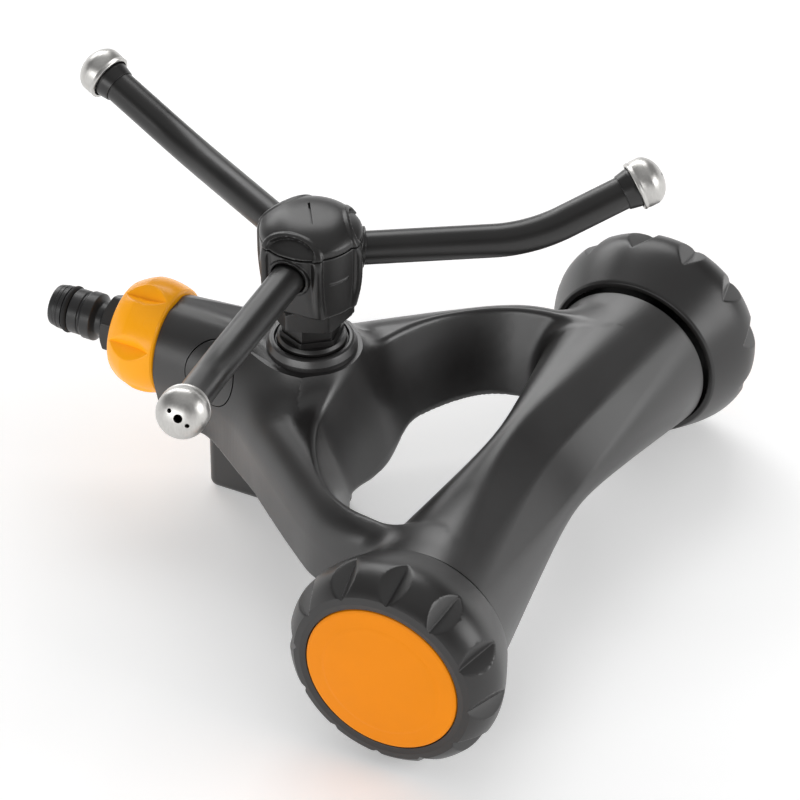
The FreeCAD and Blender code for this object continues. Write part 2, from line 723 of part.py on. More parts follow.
# Radius over the corners of a hexagon, for one unit across its flats.
HEX_CORNER = 0.5774
neck_corner = S["gland_neck_flats"] * HEX_CORNER
hex_corner = S["hex_flats"] * HEX_CORNER
gland = revolved("gland_nut", [
    (spindle_radius + 0.1, S["gland_bottom"]), (S["gland_radius"], S["gland_bottom"]),
    (S["gland_radius"], S["gland_flange_top"]), (neck_corner, S["gland_flange_top"]),
    (neck_corner, S["hex_bottom"]), (hex_corner - 0.8, S["hex_bottom"]), (hex_corner, S["hex_bottom"] + 0.6),
    (hex_corner, S["hex_top"] - 0.6), (hex_corner - 0.8, S["hex_top"]), (spindle_radius + 0.1, S["hex_top"])])
half_neck = S["gland_neck_flats"] / 2
half_hex = S["hex_flats"] / 2
cut_around(gland, "gland_neck_flat", "XY_Plane", [(half_neck, -8), (12, -8), (12, 8), (half_neck, 8)],
           S["hex_bottom"] - S["gland_flange_top"], 6, offset=S["hex_bottom"], midplane=False)
cut_around(gland, "gland_flat", "XY_Plane", [(half_hex, -8), (16, -8), (16, 8), (half_hex, 8)],
           S["hex_top"] - S["hex_bottom"], 6, offset=S["hex_top"], midplane=False)
o_ring("gland_o_ring", 6.0, 0.88, (0, 0, (S["socket_floor"] + S["gland_bottom"]) / 2))
revolved("thrust_washer", tube_outline(spindle_radius + 0.1, 9.0, S["hex_top"] + 0.02, S["hex_top"] + 0.9))
sleeve_top = S["sleeve_top"]
revolved("bearing_sleeve", tube_outline(spindle_radius + S["running_gap"], 7.0, S["head_bottom"], sleeve_top, 0.3))
revolved("spindle_washer", tube_outline(spindle_radius + 0.1, 7.6, sleeve_top + 0.15, sleeve_top + 0.95))
revolved("spindle_clip", tube_outline(spindle_radius - 0.7, 7.0, clip_height + 0.05, clip_height + 1.0))


# ---------------------------------------------------------------- rotor head

def polar(radius, degrees):
    return radius * math.cos(math.radians(degrees)), radius * math.sin(math.radians(degrees))


def head_outline(shrink=0.0):
    """Rounded triangle with a lobe under each arm: three corner arcs joined by three bowed sides."""
    reach = S["head_lobe_reach"].value - shrink
    lobe = S["head_lobe_radius"].value - shrink
    half_angle = S["head_lobe_angle"].value
    points = []
    for number in range(3):
        azimuth = S["arm_azimuth"].value + 120.0 * number
        cx, cy = polar(reach - lobe, azimuth)
        side = S["head_side_radius"].value
        for angle, radius in ((azimuth - half_angle, -lobe), (azimuth + half_angle, -side)):
            dx, dy = polar(lobe, angle)
            points.append((cx + dx, cy + dy, radius))
    return points


def lobed_block(label, low, high, shrink=0.0):
    body = doc.addObject("PartDesign::Body", label)
    sketch = new_sketch(body, label + "_profile", "XY_Plane")
    bind(sketch, "AttachmentOffset.Base.z", low)
    add_outline(sketch, head_outline(shrink))
    pad = body.newObject("PartDesign::Pad", label + "_block")
    pad.Profile = sketch
    bind(pad, "Length", size_of(high) - low)
    doc.recompute()
    return body


def groove(body, name, outline):
    sketch = new_sketch(body, name + "_profile", "XZ_Plane")
    add_outline(sketch, outline)
    feature = body.newObject("PartDesign::Groove", name)
    feature.Profile = sketch
    feature.ReferenceAxis = (sketch, ["V_Axis"])
    feature.Angle = 360
    cut_and_check(body, feature)


head = lobed_block("rotor_head", S["head_bottom"], S["head_joint"])
groove(head, "sleeve_bore", [(0, S["head_bottom"] - 1), (7.0, S["head_bottom"] - 1), (7.0, sleeve_top),
                             (0, sleeve_top)])
groove(head, "water_chamber", [(0, sleeve_top - 1), (S["chamber_radius"], sleeve_top - 1),
                               (S["chamber_radius"], S["head_joint"] + 1), (0, S["head_joint"] + 1)])
arm_seat = new_sketch(head, "arm_seat_profile", "YZ_Plane")
seat_circle = arm_seat.addGeometry(Part.Circle(V(0, S["arm_height"].value, 0), Z_AXIS, 5.0), False)
seat_index = arm_seat.addConstraint(Sketcher.Constraint("Radius", seat_circle, 5.0))
bind(arm_seat, "Constraints[%d]" % seat_index, S["arm_radius"])
fix_point(arm_seat, seat_circle, 3, (0, S["arm_height"]))
arm_seat.AttachmentOffset = FreeCAD.Placement(V(0, 0, 0), turn(Y_AXIS, mm("arm_azimuth")))
seat = head.newObject("PartDesign::Pocket", "arm_seat")
seat.Profile = arm_seat
seat.Length = 30
seat.Reversed = True
cut_and_check(head, seat)
repeat_around(head, seat, 3)
place(head)
keep(head, "rotor_head")

cap = lobed_block("rotor_cap", S["head_joint"], S["head_top"])
top = S["head_top"]
groove(cap, "cap_dome", [
    (30, top + 1), (0, top + 1), (0, top), (7.0, top - 0.5), (11.0, top - 1.5), (14.0, top - 3.0),
    (16.4, top - 5.1), (18.2, S["head_joint"]), (30, S["head_joint"])])
groove(cap, "cap_underside", [
    (0, S["head_joint"] - 1), (11.0, S["head_joint"] - 1), (9.0, S["head_joint"] + 3.4),
    (0, S["head_joint"] + 5.2)])
index_slot = new_sketch(cap, "index_slot_profile", "XY_Plane")
index_slot.AttachmentOffset = FreeCAD.Placement(V(0, 0, 0), turn(Z_AXIS, mm("arm_azimuth") - 90.0))
bind(index_slot, "AttachmentOffset.Base.z", top + 1)
add_outline(index_slot, [(-6.0, -0.35), (6.0, -0.35), (6.0, 0.35), (-6.0, 0.35)])
slot = cap.newObject("PartDesign::Pocket", "index_slot")
slot.Profile = index_slot
slot.Length = 2.4
cut_and_check(cap, slot)
place(cap)
keep(cap, "rotor_cap")
o_ring("cap_gasket", 9.2, 0.7, (0, 0, S["head_joint"] + 0.72))


# ---------------------------------------------------------------- arms and nozzles

def bend_function(function, part=1):
    """A trigonometric function of the arm's bend, or of part of it, as a Size."""
    rise, sweep = math.radians(mm("arm_rise")), math.radians(mm("arm_turn"))
    value = getattr(math, function)(math.acos(math.cos(rise) * math.cos(sweep)) * part)
    bend = "acos(cos(Sizes.arm_rise * 1 deg) * cos(Sizes.arm_turn * 1 deg))"
    return Size("%s(%s * %g)" % (function, bend, part), value)


def arm_frame(number):
    """Arm frame: origin on the rotor axis, X along the first run, bend in the local XY plane."""
    rise, sweep = math.radians(mm("arm_rise")), math.radians(mm("arm_turn"))
    tilt = math.degrees(math.atan2(math.sin(rise), math.cos(rise) * math.sin(sweep)))
    spin = turn(Z_AXIS, mm("arm_azimuth") + 120.0 * number).multiply(turn(X_AXIS, tilt))
    return FreeCAD.Placement(V(0, 0, mm("arm_height")), spin)


def tip_frame(number):
    """Frame at the cap joint: Z along the outer run, pointing outwards."""
    along, aside = bend_function("cos").value, bend_function("sin").value
    point = V(mm("arm_run") + mm("arm_reach") * along, mm("arm_reach") * aside, 0)
    outward = turn(Z_AXIS, math.degrees(math.atan2(aside, along))).multiply(turn(Y_AXIS, 90))
    return arm_frame(number).multiply(FreeCAD.Placement(point, outward))


def arm(number):
    """Hollow bent arm, piped along two straight runs and the arc between them."""
    label = "arm_%d" % (number + 1)
    body = doc.addObject("PartDesign::Body", label)
    along, aside = bend_function("cos"), bend_function("sin")
    setback = S["arm_bend"] * bend_function("tan", 0.5)
    tail = S["arm_reach"] + 2.0
    corners = [
        (S["arm_root"], size_of(0)),
        (S["arm_run"] - setback, size_of(0)),
        (S["arm_run"] + setback * along, setback * aside),
        (S["arm_run"] + tail * along, tail * aside),
    ]
    points = [V(x.value, y.value, 0) for x, y in corners]
    middle = V(points[1].x + mm("arm_bend") * bend_function("sin", 0.5).value,
               mm("arm_bend") * (1 - bend_function("cos", 0.5).value), 0)
    path = new_sketch(body, label + "_path", "XY_Plane")
    first = path.addGeometry(Part.LineSegment(points[0], points[1]), False)
    curve = path.addGeometry(Part.Arc(points[1], middle, points[2]), False)
    last = path.addGeometry(Part.LineSegment(points[2], points[3]), False)
    path.addConstraint(Sketcher.Constraint("Coincident", first, 2, curve, 1))
    path.addConstraint(Sketcher.Constraint("Coincident", curve, 2, last, 1))
    for edge, end, corner in ((first, 1, 0), (first, 2, 1), (last, 1, 2), (last, 2, 3)):
        fix_point(path, edge, end, corners[corner])
    index = path.addConstraint(Sketcher.Constraint("Radius", curve, mm("arm_bend")))
    bind(path, "Constraints[%d]" % index, S["arm_bend"])
    ring = new_sketch(body, label + "_ring", "YZ_Plane")
    bind(ring, "AttachmentOffset.Base.z", S["arm_root"])
    for radius in ("arm_radius", "arm_bore"):
        circle = ring.addGeometry(Part.Circle(V(0, 0, 0), Z_AXIS, mm(radius)), False)
        ring.addConstraint(Sketcher.Constraint("Coincident", circle, 3, -1, 1))
        index = ring.addConstraint(Sketcher.Constraint("Radius", circle, mm(radius)))
        bind(ring, "Constraints[%d]" % index, S[radius])
    pipe = body.newObject("PartDesign::AdditivePipe", label + "_pipe")
    pipe.Profile = ring
    pipe.Spine = (path, ["Edge1", "Edge2", "Edge3"])
    doc.recompute()
    body.Placement = arm_frame(number)
    return keep(body, label)


def nozzle_collar(number):
    """Flared collar that locks the cap onto the arm."""
    label = "nozzle_collar_%d" % (number + 1)
    inner = S["arm_radius"]
    body = revolved(label, [
        (inner, -6.5), (inner + 0.7, -6.5), (inner + 1.7, -0.6), (inner + 1.7, 0.6), (inner + 0.9, 0.6),
        (inner + 0.9, 2.0), (inner, 2.0)], tip_frame(number))
    return body


def nozzle_cap(number):
    """Drawn steel cap with one large and two small jet holes in a row."""
    label = "nozzle_cap_%d" % (number + 1)
    radius, length = S["cap_radius"], S["cap_length"]
    inner = S["arm_radius"] + 1.75
    body = revolved(label, [
        (inner, 0), (radius - 0.5, 0), (radius, 0.5), (radius, length - 4.0, 5.5),
        (radius - 3.4, length - 0.7, 18), (0, length), (0, length - 0.9), (radius - 3.6, length - 1.6),
        (inner - 0.3, length - 4.4), (inner, length - 5.4)], tip_frame(number))
    jets = new_sketch(body, label + "_jets_profile", "XY_Plane")
    for offset, hole in ((0.0, 1.5), (-3.7, 0.75), (3.7, 0.75)):
        circle = jets.addGeometry(Part.Circle(V(offset, 0, 0), Z_AXIS, hole), False)
        fix_point(jets, circle, 3, (offset, 0))
        jets.addConstraint(Sketcher.Constraint("Radius", circle, hole))
    pocket = body.newObject("PartDesign::Pocket", label + "_jets")
    pocket.Profile = jets
    pocket.Length = 30
    pocket.Reversed = True
    cut_and_check(body, pocket)
    return body


def nozzle_seal(number):
    """Rubber disc behind the cap that seals it against the arm's end."""
    outline = tube_outline(S["arm_bore"], S["arm_radius"] + 1.2, 2.05, 3.6)
    return revolved("nozzle_seal_%d" % (number + 1), outline, tip_frame(number))


for number in range(3):
    arm(number)
    nozzle_collar(number)
    nozzle_cap(number)
    nozzle_seal(number)


# ---------------------------------------------------------------- checks and export

doc.recompute()
for item in doc.Objects:
    if "Invalid" in item.State or "Error" in item.State:
        raise RuntimeError("%s failed: %s" % (item.Name, item.State))

os.makedirs("parts", exist_ok=True)
for item in subparts:
    if item.Shape.isNull() or not item.Shape.isValid():
        raise RuntimeError("%s has no valid shape" % item.Label)
    item.Shape.exportStep("parts/%s.step" % item.Label)
print("%d sub-parts written" % len(subparts))
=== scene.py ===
import json
import math

import bmesh
import bpy
import numpy as np
from mathutils import Matrix, Vector


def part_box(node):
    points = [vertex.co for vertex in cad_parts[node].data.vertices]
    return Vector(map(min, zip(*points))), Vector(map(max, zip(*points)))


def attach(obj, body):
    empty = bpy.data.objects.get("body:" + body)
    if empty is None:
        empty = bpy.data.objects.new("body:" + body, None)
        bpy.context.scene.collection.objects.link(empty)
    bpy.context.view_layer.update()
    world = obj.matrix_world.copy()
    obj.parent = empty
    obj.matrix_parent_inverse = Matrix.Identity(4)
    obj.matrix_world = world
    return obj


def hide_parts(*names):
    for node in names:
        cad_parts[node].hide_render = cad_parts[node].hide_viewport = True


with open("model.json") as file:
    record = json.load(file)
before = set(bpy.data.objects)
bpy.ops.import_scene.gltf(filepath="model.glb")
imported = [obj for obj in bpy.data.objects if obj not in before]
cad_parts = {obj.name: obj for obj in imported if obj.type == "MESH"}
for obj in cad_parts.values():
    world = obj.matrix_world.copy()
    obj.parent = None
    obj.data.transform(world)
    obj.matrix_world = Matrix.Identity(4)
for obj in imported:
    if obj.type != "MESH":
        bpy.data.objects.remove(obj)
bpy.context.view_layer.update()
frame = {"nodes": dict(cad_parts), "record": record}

# Looks of a three-arm rotary lawn sprinkler. Shapes are worked out in millimetres and in the frame of
# the CAD model: +Z up, +X from the hose towards the wheels, origin on the ground under the rotor.
MM = 0.001

# ---------------------------- places taken from the frame


def corners(node):
    """Lowest and highest corner of a CAD node, in millimetres."""
    low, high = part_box(node)
    return np.array(low) / MM, np.array(high) / MM


WHEEL_LOW, WHEEL_HIGH = corners("left_wheel")
AXLE_X = (WHEEL_LOW[0] + WHEEL_HIGH[0]) / 2
AXLE_Z = (WHEEL_LOW[2] + WHEEL_HIGH[2]) / 2
WHEEL_RADIUS = (WHEEL_HIGH[2] - WHEEL_LOW[2]) / 2
WHEEL_INNER = WHEEL_LOW[1]
WHEEL_WIDTH = WHEEL_HIGH[1] - WHEEL_INNER
DISC_LOW, DISC_HIGH = corners("left_hub_disc")
DISC_RADIUS = (DISC_HIGH[2] - DISC_LOW[2]) / 2
FOOT_LOW, FOOT_HIGH = corners("rear_foot")
NUT_LOW, NUT_HIGH = corners("union_nut")
NUT_LENGTH = NUT_HIGH[0] - NUT_LOW[0]
INLET_Z = (NUT_LOW[2] + NUT_HIGH[2]) / 2
ADAPTER_LOW, ADAPTER_HIGH = corners("hose_adapter")
ADAPTER_LENGTH = ADAPTER_HIGH[0] - ADAPTER_LOW[0]
COLLAR_TOP = corners("boss_collar")[1][2]
GLAND_LOW, GLAND_HIGH = corners("gland_nut")
GLAND_BOTTOM, GLAND_TOP = GLAND_LOW[2], GLAND_HIGH[2]
HEAD_BOTTOM = corners("rotor_head")[0][2]
CAP_LOW, CAP_HIGH = corners("rotor_cap")
HEAD_SEAM, HEAD_TOP = CAP_LOW[2], CAP_HIGH[2]

# Arms: level out of the head, then turned up by ARM_RISE and sideways by ARM_TURN in a bend of radius
# ARM_BEND. ARM_RUN reaches to the corner of the bend, ARM_REACH from there to the nozzle.
ARM_HEIGHT = 108.9
ARM_AZIMUTHS = [math.radians(32.3 + 120 * k) for k in range(3)]
ARM_RADIUS = 5.75
ARM_ROOT = 10.5
ARM_RUN = 74.4
ARM_BEND = 62.0
ARM_REACH = 39.2
ARM_OVERRUN = 1.6
ARM_RISE = math.radians(19.2)
ARM_TURN = math.radians(13.4)

# ---------------------------- numbers and distances


def smoothstep(low, high, value):
    """0 below low, 1 above high and smooth between them."""
    t = np.clip((value - low) / (high - low), 0.0, 1.0)
    return t * t * (3 - 2 * t)


def join(a, b, soft):
    """Union of two distance fields, rounded over a width of soft."""
    h = np.clip(0.5 + 0.5 * (b - a) / soft, 0.0, 1.0)
    return b + (a - b) * h - soft * h * (1 - h)


def meet(a, b, soft):
    """Intersection of two distance fields, rounded over a width of soft."""
    return -join(-a, -b, soft)


def through(stations, t):
    """Smooth curve through (parameter, value, value ...) stations, read at t: one array per value."""
    stations = np.array(stations, float)
    knots, values = stations[:, 0], stations[:, 1:]
    slopes = np.gradient(values, knots, axis=0)
    t = np.clip(t, knots[0], knots[-1])
    k = np.clip(np.searchsorted(knots, t, side="right") - 1, 0, len(knots) - 2)
    width = knots[k + 1] - knots[k]
    s = (t - knots[k]) / width
    out = []
    for c in range(values.shape[1]):
        v0, v1 = values[k, c], values[k + 1, c]
        m0, m1 = slopes[k, c] * width, slopes[k + 1, c] * width
        out.append(v0 * (1 + 2 * s) * (1 - s) ** 2 + m0 * s * (1 - s) ** 2
                   + v1 * s * s * (3 - 2 * s) - m1 * s * s * (1 - s))
    return out


def convex(u, v, points):
    """Distance from (u, v) to a convex polygon given anticlockwise; its corners may vary over space."""
    nearest, inside = None, None
    for (au, av), (bu, bv) in zip(points, points[1:] + points[:1]):
        eu, ev = bu - au, bv - av
        wu, wv = u - au, v - av
        squared = eu * eu + ev * ev + 1e-12
        s = np.clip((wu * eu + wv * ev) / squared, 0.0, 1.0)
        gap = (wu - s * eu) ** 2 + (wv - s * ev) ** 2
        beyond = (wu * ev - wv * eu) / np.sqrt(squared)
        nearest = gap if nearest is None else np.minimum(nearest, gap)
        inside = beyond if inside is None else np.maximum(inside, beyond)
    return np.where(inside < 0, inside, np.sqrt(nearest))


def folded(angle, phase, count):
    """Angle from the nearest of count equal places round a circle."""
    pitch = 2 * math.pi / count
    return (angle - phase + pitch / 2) % pitch - pitch / 2


def plan_curve(points, density=8):
    """A smooth curve through plan points, as many short segments."""
    points = np.array(points, float)
    knots = np.concatenate([[0], np.cumsum(np.linalg.norm(np.diff(points, axis=0), axis=1))])
    t = np.linspace(0, knots[-1], density * (len(points) - 1) + 1)
    return np.stack(through(np.column_stack([knots, points]), t), axis=1)


def beside(x, y, curve):
    """Signed distance from a plan curve: positive to the left of its direction of travel."""
    best = side = None
    for a, b in zip(curve[:-1], curve[1:]):
        e = b - a
        wx, wy = x - a[0], y - a[1]
        s = np.clip((wx * e[0] + wy * e[1]) / (e @ e), 0.0, 1.0)
        gap = (wx - s * e[0]) ** 2 + (wy - s * e[1]) ** 2
        left = np.sign(e[0] * wy - e[1] * wx)
        if best is None:
            best, side = gap, left
            continue
        closer = gap < best - 1e-9
        best = np.where(closer, gap, best)
        side = np.where(closer, left, side)
    return np.sqrt(best) * np.where(side == 0, 1, side)


# ---------------------------- meshes


def mesh_of(name, vertices, faces):
    """A mesh in metres from vertices in millimetres."""
    mesh = bpy.data.meshes.new(name)
    mesh.from_pydata([tuple(v) for v in vertices * MM], [], faces)
    mesh.update()
    return mesh


def finished(name, vertices, faces, material, body, replaced, normals=None, sharp=32):
    """Make a piece from vertices in millimetres; replaced lists the CAD nodes that it stands for."""
    mesh = mesh_of(name, vertices, faces)
    mesh.validate()
    item = housed(name, mesh, material, body, replaced)
    if normals is None:
        mesh.set_sharp_from_angle(angle=math.radians(sharp))
    else:
        mesh.normals_split_custom_set_from_vertices([tuple(n) for n in normals])
    return item


def housed(name, mesh, material, body, replaced):
    """Make a piece from a mesh in metres, riding on a CAD body in place of its CAD nodes."""
    mesh.name = name
    mesh.materials.clear()
    mesh.materials.append(material)
    mesh.polygons.foreach_set("use_smooth", [True] * len(mesh.polygons))
    item = bpy.data.objects.new(name, mesh)
    bpy.context.scene.collection.objects.link(item)
    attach(item, body)
    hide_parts(*replaced)
    return item


def slope_of(field, points, reach=0.02):
    """Gradient of a field at points, by central differences."""
    gradient = np.empty_like(points)
    for axis in range(3):
        ahead, behind = points.copy(), points.copy()
        ahead[:, axis] += reach
        behind[:, axis] -= reach
        gradient[:, axis] = (field(*ahead.T) - field(*behind.T)) / (2 * reach)
    return gradient


CORNERS = [(i, j, k) for i in (0, 1) for j in (0, 1) for k in (0, 1)]
EDGES = [(a, b) for a in range(8) for b in range(a + 1, 8)
         if sum(abs(p - q) for p, q in zip(CORNERS[a], CORNERS[b])) == 1]


def skin_of(field, low, high, step):
    """The surface where a distance field is zero, as vertices, quads and vertex normals.

    Each grid cell that the surface crosses gets one vertex, slid along the field's slope onto the surface,
    and each grid edge that it crosses gets one quad.
    """
    axes = [np.arange(a, b + step, step) for a, b in zip(low, high)]
    grid = np.meshgrid(*axes, indexing="ij", sparse=True)
    values = np.broadcast_to(field(*grid), [len(a) for a in axes])
    cells = [n - 1 for n in values.shape]
    filled = values < 0
    total = sum(filled[i:i + cells[0], j:j + cells[1], k:k + cells[2]].astype(np.int8)
                for i, j, k in CORNERS)
    active = (total > 0) & (total < 8)
    where = np.argwhere(active)
    number = np.full(active.shape, -1)
    number[tuple(where.T)] = np.arange(len(where))
    at = [values[tuple((where + corner).T)] for corner in CORNERS]
    middle, crossings = np.zeros((len(where), 3)), np.zeros(len(where))
    for a, b in EDGES:
        crossed = (at[a] < 0) != (at[b] < 0)
        s = np.where(crossed, at[a] / np.where(crossed, at[a] - at[b], 1.0), 0.0)
        point = np.array(CORNERS[a]) + s[:, None] * (np.array(CORNERS[b]) - np.array(CORNERS[a]))
        middle += point * crossed[:, None]
        crossings += crossed
    points = np.array(low) + step * (where + middle / crossings[:, None])
    for _ in range(5):
        gradient = slope_of(field, points)
        squared = np.maximum((gradient ** 2).sum(axis=1), 0.05)
        move = field(*points.T)[:, None] * gradient / squared[:, None]
        length = np.linalg.norm(move, axis=1, keepdims=True)
        points -= move * np.minimum(1.0, 0.5 * step / np.maximum(length, 1e-9))
    gradient = slope_of(field, points)
    normals = gradient / np.maximum(np.linalg.norm(gradient, axis=1, keepdims=True), 1e-9)
    quads = []
    for axis in range(3):
        u, v = (axis + 1) % 3, (axis + 2) % 3
        near = [slice(1, n) if c != axis else slice(0, n) for c, n in enumerate(cells)]
        ahead = [slice(s.start + (c == axis), s.stop + (c == axis)) for c, s in enumerate(near)]
        change = filled[tuple(near)].astype(np.int8) - filled[tuple(ahead)].astype(np.int8)
        for sign in (1, -1):
            spots = np.argwhere(change == sign)
            spots = spots + np.array([0 if c == axis else 1 for c in range(3)])
            ring = []
            for du, dv in ((-1, -1), (0, -1), (0, 0), (-1, 0)):
                cell = spots.copy()
                cell[:, u] += du
                cell[:, v] += dv
                ring.append(number[tuple(cell.T)])
            ring = np.stack(ring if sign == 1 else ring[::-1], axis=1)
            quads.append(ring[(ring >= 0).all(axis=1)])
    return points, np.concatenate(quads).tolist(), normals


def skin_mesh(field, low, high, step):
    """The zero surface of a distance field as a mesh in metres."""
    points, quads, _ = skin_of(field, low, high, step)
    return mesh_of("skin", points, quads)


def modelled(name, field, low, high, step, material, body, replaced):
    """A piece whose skin is the zero surface of a distance field."""
    points, quads, normals = skin_of(field, low, high, step)
    return finished(name, points, quads, material, body, replaced, normals=normals)


def rounded(outline, degrees_per_step=9):
    """Closed (r, z) outline with rounded corners: an entry may carry a corner radius as a third number."""
    points = []
    for k, entry in enumerate(outline):
        here = np.array(entry[:2], float)
        if len(entry) < 3:
            points.append(here)
            continue
        before = np.array(outline[k - 1][:2], float) - here
        after = np.array(outline[(k + 1) % len(outline)][:2], float) - here
        before_length, after_length = np.linalg.norm(before), np.linalg.norm(after)
        before, after = before / before_length, after / after_length
        half = math.acos(np.clip(before @ after, -1, 1)) / 2
        setback = min(entry[2] / math.tan(half), 0.49 * before_length, 0.49 * after_length)
        start, end = here + before * setback, here + after * setback
        steps = max(3, int(math.degrees(math.pi - 2 * half) / degrees_per_step))
        for s in np.linspace(0, 1, steps + 1):
            points.append((1 - s) ** 2 * start + 2 * s * (1 - s) * here + s * s * end)
    return np.array(points)


def divided(points, step):
    """Split the long runs of a closed outline so that no run is much longer than step."""
    out = []
    for a, b in zip(points, np.roll(points, -1, axis=0)):
        pieces = max(1, int(math.ceil(np.linalg.norm(b - a) / step)))
        out += [a + (b - a) * s / pieces for s in range(pieces)]
    return np.array(out)


def turned(name, outline, place, material, body, replaced, segments=128, relief=None, sharp=32):
    """A piece turned about the Z axis of place from a closed outline.

    The outline's (r, z) points run anticlockwise, and relief(angle, r, z) returns r and z with dents cut in.
    """
    outline = np.asarray(outline)
    angles = np.linspace(0, 2 * math.pi, segments, endpoint=False)
    radius, height = outline[:, 0][:, None], outline[:, 1][:, None]
    angle = angles[None, :]
    if relief is not None:
        radius, height = relief(angle, radius, height)
    radius, height = np.broadcast_arrays(radius, height + 0 * angle)
    x, y = radius * np.cos(angle), radius * np.sin(angle)
    vertices = np.stack([x, y, height], axis=2).reshape(-1, 3)
    rows = len(outline)
    on_axis = outline[:, 0] < 1e-6
    faces = []
    for i in range(rows):
        j = (i + 1) % rows
        if on_axis[i] and on_axis[j]:
            continue
        for k in range(segments):
            m = (k + 1) % segments
            a, b, c, d = i * segments + k, i * segments + m, j * segments + m, j * segments + k
            if on_axis[i]:
                faces.append((i * segments, c, d))
            elif on_axis[j]:
                faces.append((a, b, j * segments))
            else:
                faces.append((a, b, c, d))
    spin = np.array(place)[:3, :3]
    vertices = vertices @ spin.T + np.array(place)[:3, 3]
    used = np.unique(np.concatenate([np.array(f) for f in faces]))
    renumber = np.full(len(vertices), -1)
    renumber[used] = np.arange(len(used))
    faces = [tuple(int(renumber[n]) for n in f) for f in faces]
    return finished(name, vertices[used], faces, material, body, replaced, sharp=sharp)


def facing(base, direction):
    """Frame at base (mm) whose Z axis points along direction and whose X axis is level."""
    z = Vector(direction).normalized()
    x = Vector((0, 0, 1)).cross(z).normalized()
    y = z.cross(x)
    rows = [[x[k], y[k], z[k], base[k]] for k in range(3)]
    return Matrix(rows + [[0, 0, 0, 1]])


# ---------------------------- materials


def shader_tree(name):
    """A new material with its node tree and its shader."""
    material = bpy.data.materials.new(name)
    material.use_nodes = True
    tree = material.node_tree
    return material, tree, tree.nodes["Principled BSDF"]


def noise(tree, place, scale, detail):
    """Noise over the places that a vector socket gives."""
    texture = tree.nodes.new("ShaderNodeTexNoise")
    texture.inputs["Scale"].default_value = scale
    texture.inputs["Detail"].default_value = detail
    tree.links.new(place, texture.inputs["Vector"])
    return texture.outputs["Fac"]


def drifting_colour(tree, factor, dark, light, shader):
    """Base colour that drifts between two shades with a noise."""
    shade = tree.nodes.new("ShaderNodeValToRGB")
    for element, position, colour in zip(shade.color_ramp.elements, (0.3, 0.7), (dark, light)):
        element.position = position
        element.color = (*colour, 1)
    tree.links.new(factor, shade.inputs["Fac"])
    tree.links.new(shade.outputs["Color"], shader.inputs["Base Color"])


def wandering_roughness(tree, factor, low, high, roughness, spread, shader):
    """Roughness that wanders about a value as the noise goes from low to high."""
    gloss = tree.nodes.new("ShaderNodeMapRange")
    gloss.inputs["From Min"].default_value = low
    gloss.inputs["From Max"].default_value = high
    gloss.inputs["To Min"].default_value = roughness - spread
    gloss.inputs["To Max"].default_value = roughness + spread
    tree.links.new(factor, gloss.inputs["Value"])
    tree.links.new(gloss.outputs["Result"], shader.inputs["Roughness"])


def bumped(tree, factor, strength, distance, shader):
    """Fine relief that follows a noise."""
    bump = tree.nodes.new("ShaderNodeBump")
    bump.inputs["Strength"].default_value = strength
    bump.inputs["Distance"].default_value = distance
    tree.links.new(factor, bump.inputs["Height"])
    tree.links.new(bump.outputs["Normal"], shader.inputs["Normal"])


def plastic(name, colour, roughness, grain, variation=0.12, grain_scale=2600.0, specular=0.5, painted_glow=0.0):
    """Moulded plastic: spark-eroded grain, a slow drift of shade, a wandering roughness and an optional
    painted glow, which is light emitted in its own colour though it is no lamp.
    """
    material, tree, shader = shader_tree(name)
    place = tree.nodes.new("ShaderNodeTexCoord").outputs["Object"]
    slow = noise(tree, place, scale=38.0, detail=4.0)
    fine = noise(tree, place, scale=grain_scale, detail=3.0)
    dark = [c * (1 - variation) for c in colour]
    light = [c * (1 + variation) for c in colour]
    drifting_colour(tree, slow, dark, light, shader)
    wandering_roughness(tree, slow, 0.25, 0.75, roughness, 0.05, shader)
    bumped(tree, fine, grain, 0.0002, shader)
    shader.inputs["Specular IOR Level"].default_value = specular
    # Painted glow: the surface emits light of its own colour, which brightens it as if more light fell on
    # it.
    shader.inputs["Emission Color"].default_value = (*colour, 1)
    shader.inputs["Emission Strength"].default_value = painted_glow
    return material


def metal(name, colour, roughness, brush_axis, brush_scale=900.0):
    """Metal with fine brush lines along the axis that has the smallest scale."""
    material, tree, shader = shader_tree(name)
    shader.inputs["Metallic"].default_value = 1.0
    place = tree.nodes.new("ShaderNodeTexCoord").outputs["Object"]
    stretch = tree.nodes.new("ShaderNodeMapping")
    stretch.inputs["Scale"].default_value = brush_axis
    tree.links.new(place, stretch.inputs["Vector"])
    lines = noise(tree, stretch.outputs["Vector"], scale=brush_scale, detail=5.0)
    drifting_colour(tree, lines, [c * 0.88 for c in colour], colour, shader)
    wandering_roughness(tree, lines, 0.0, 1.0, roughness, 0.07, shader)
    bumped(tree, lines, 0.12, 0.0001, shader)
    return material


SHELL = plastic("shell_black_plastic", (0.0165, 0.0155, 0.0155), 0.33, 0.08, specular=0.9)
WHEEL = plastic("wheel_black_plastic", (0.0125, 0.0116, 0.0115), 0.34, 0.10, specular=0.65)
ROTOR = plastic("rotor_black_plastic", (0.0105, 0.0098, 0.0095), 0.34, 0.08, specular=0.6)
FITTING = plastic("fitting_black_plastic", (0.0200, 0.0200, 0.0205), 0.33, 0.06)
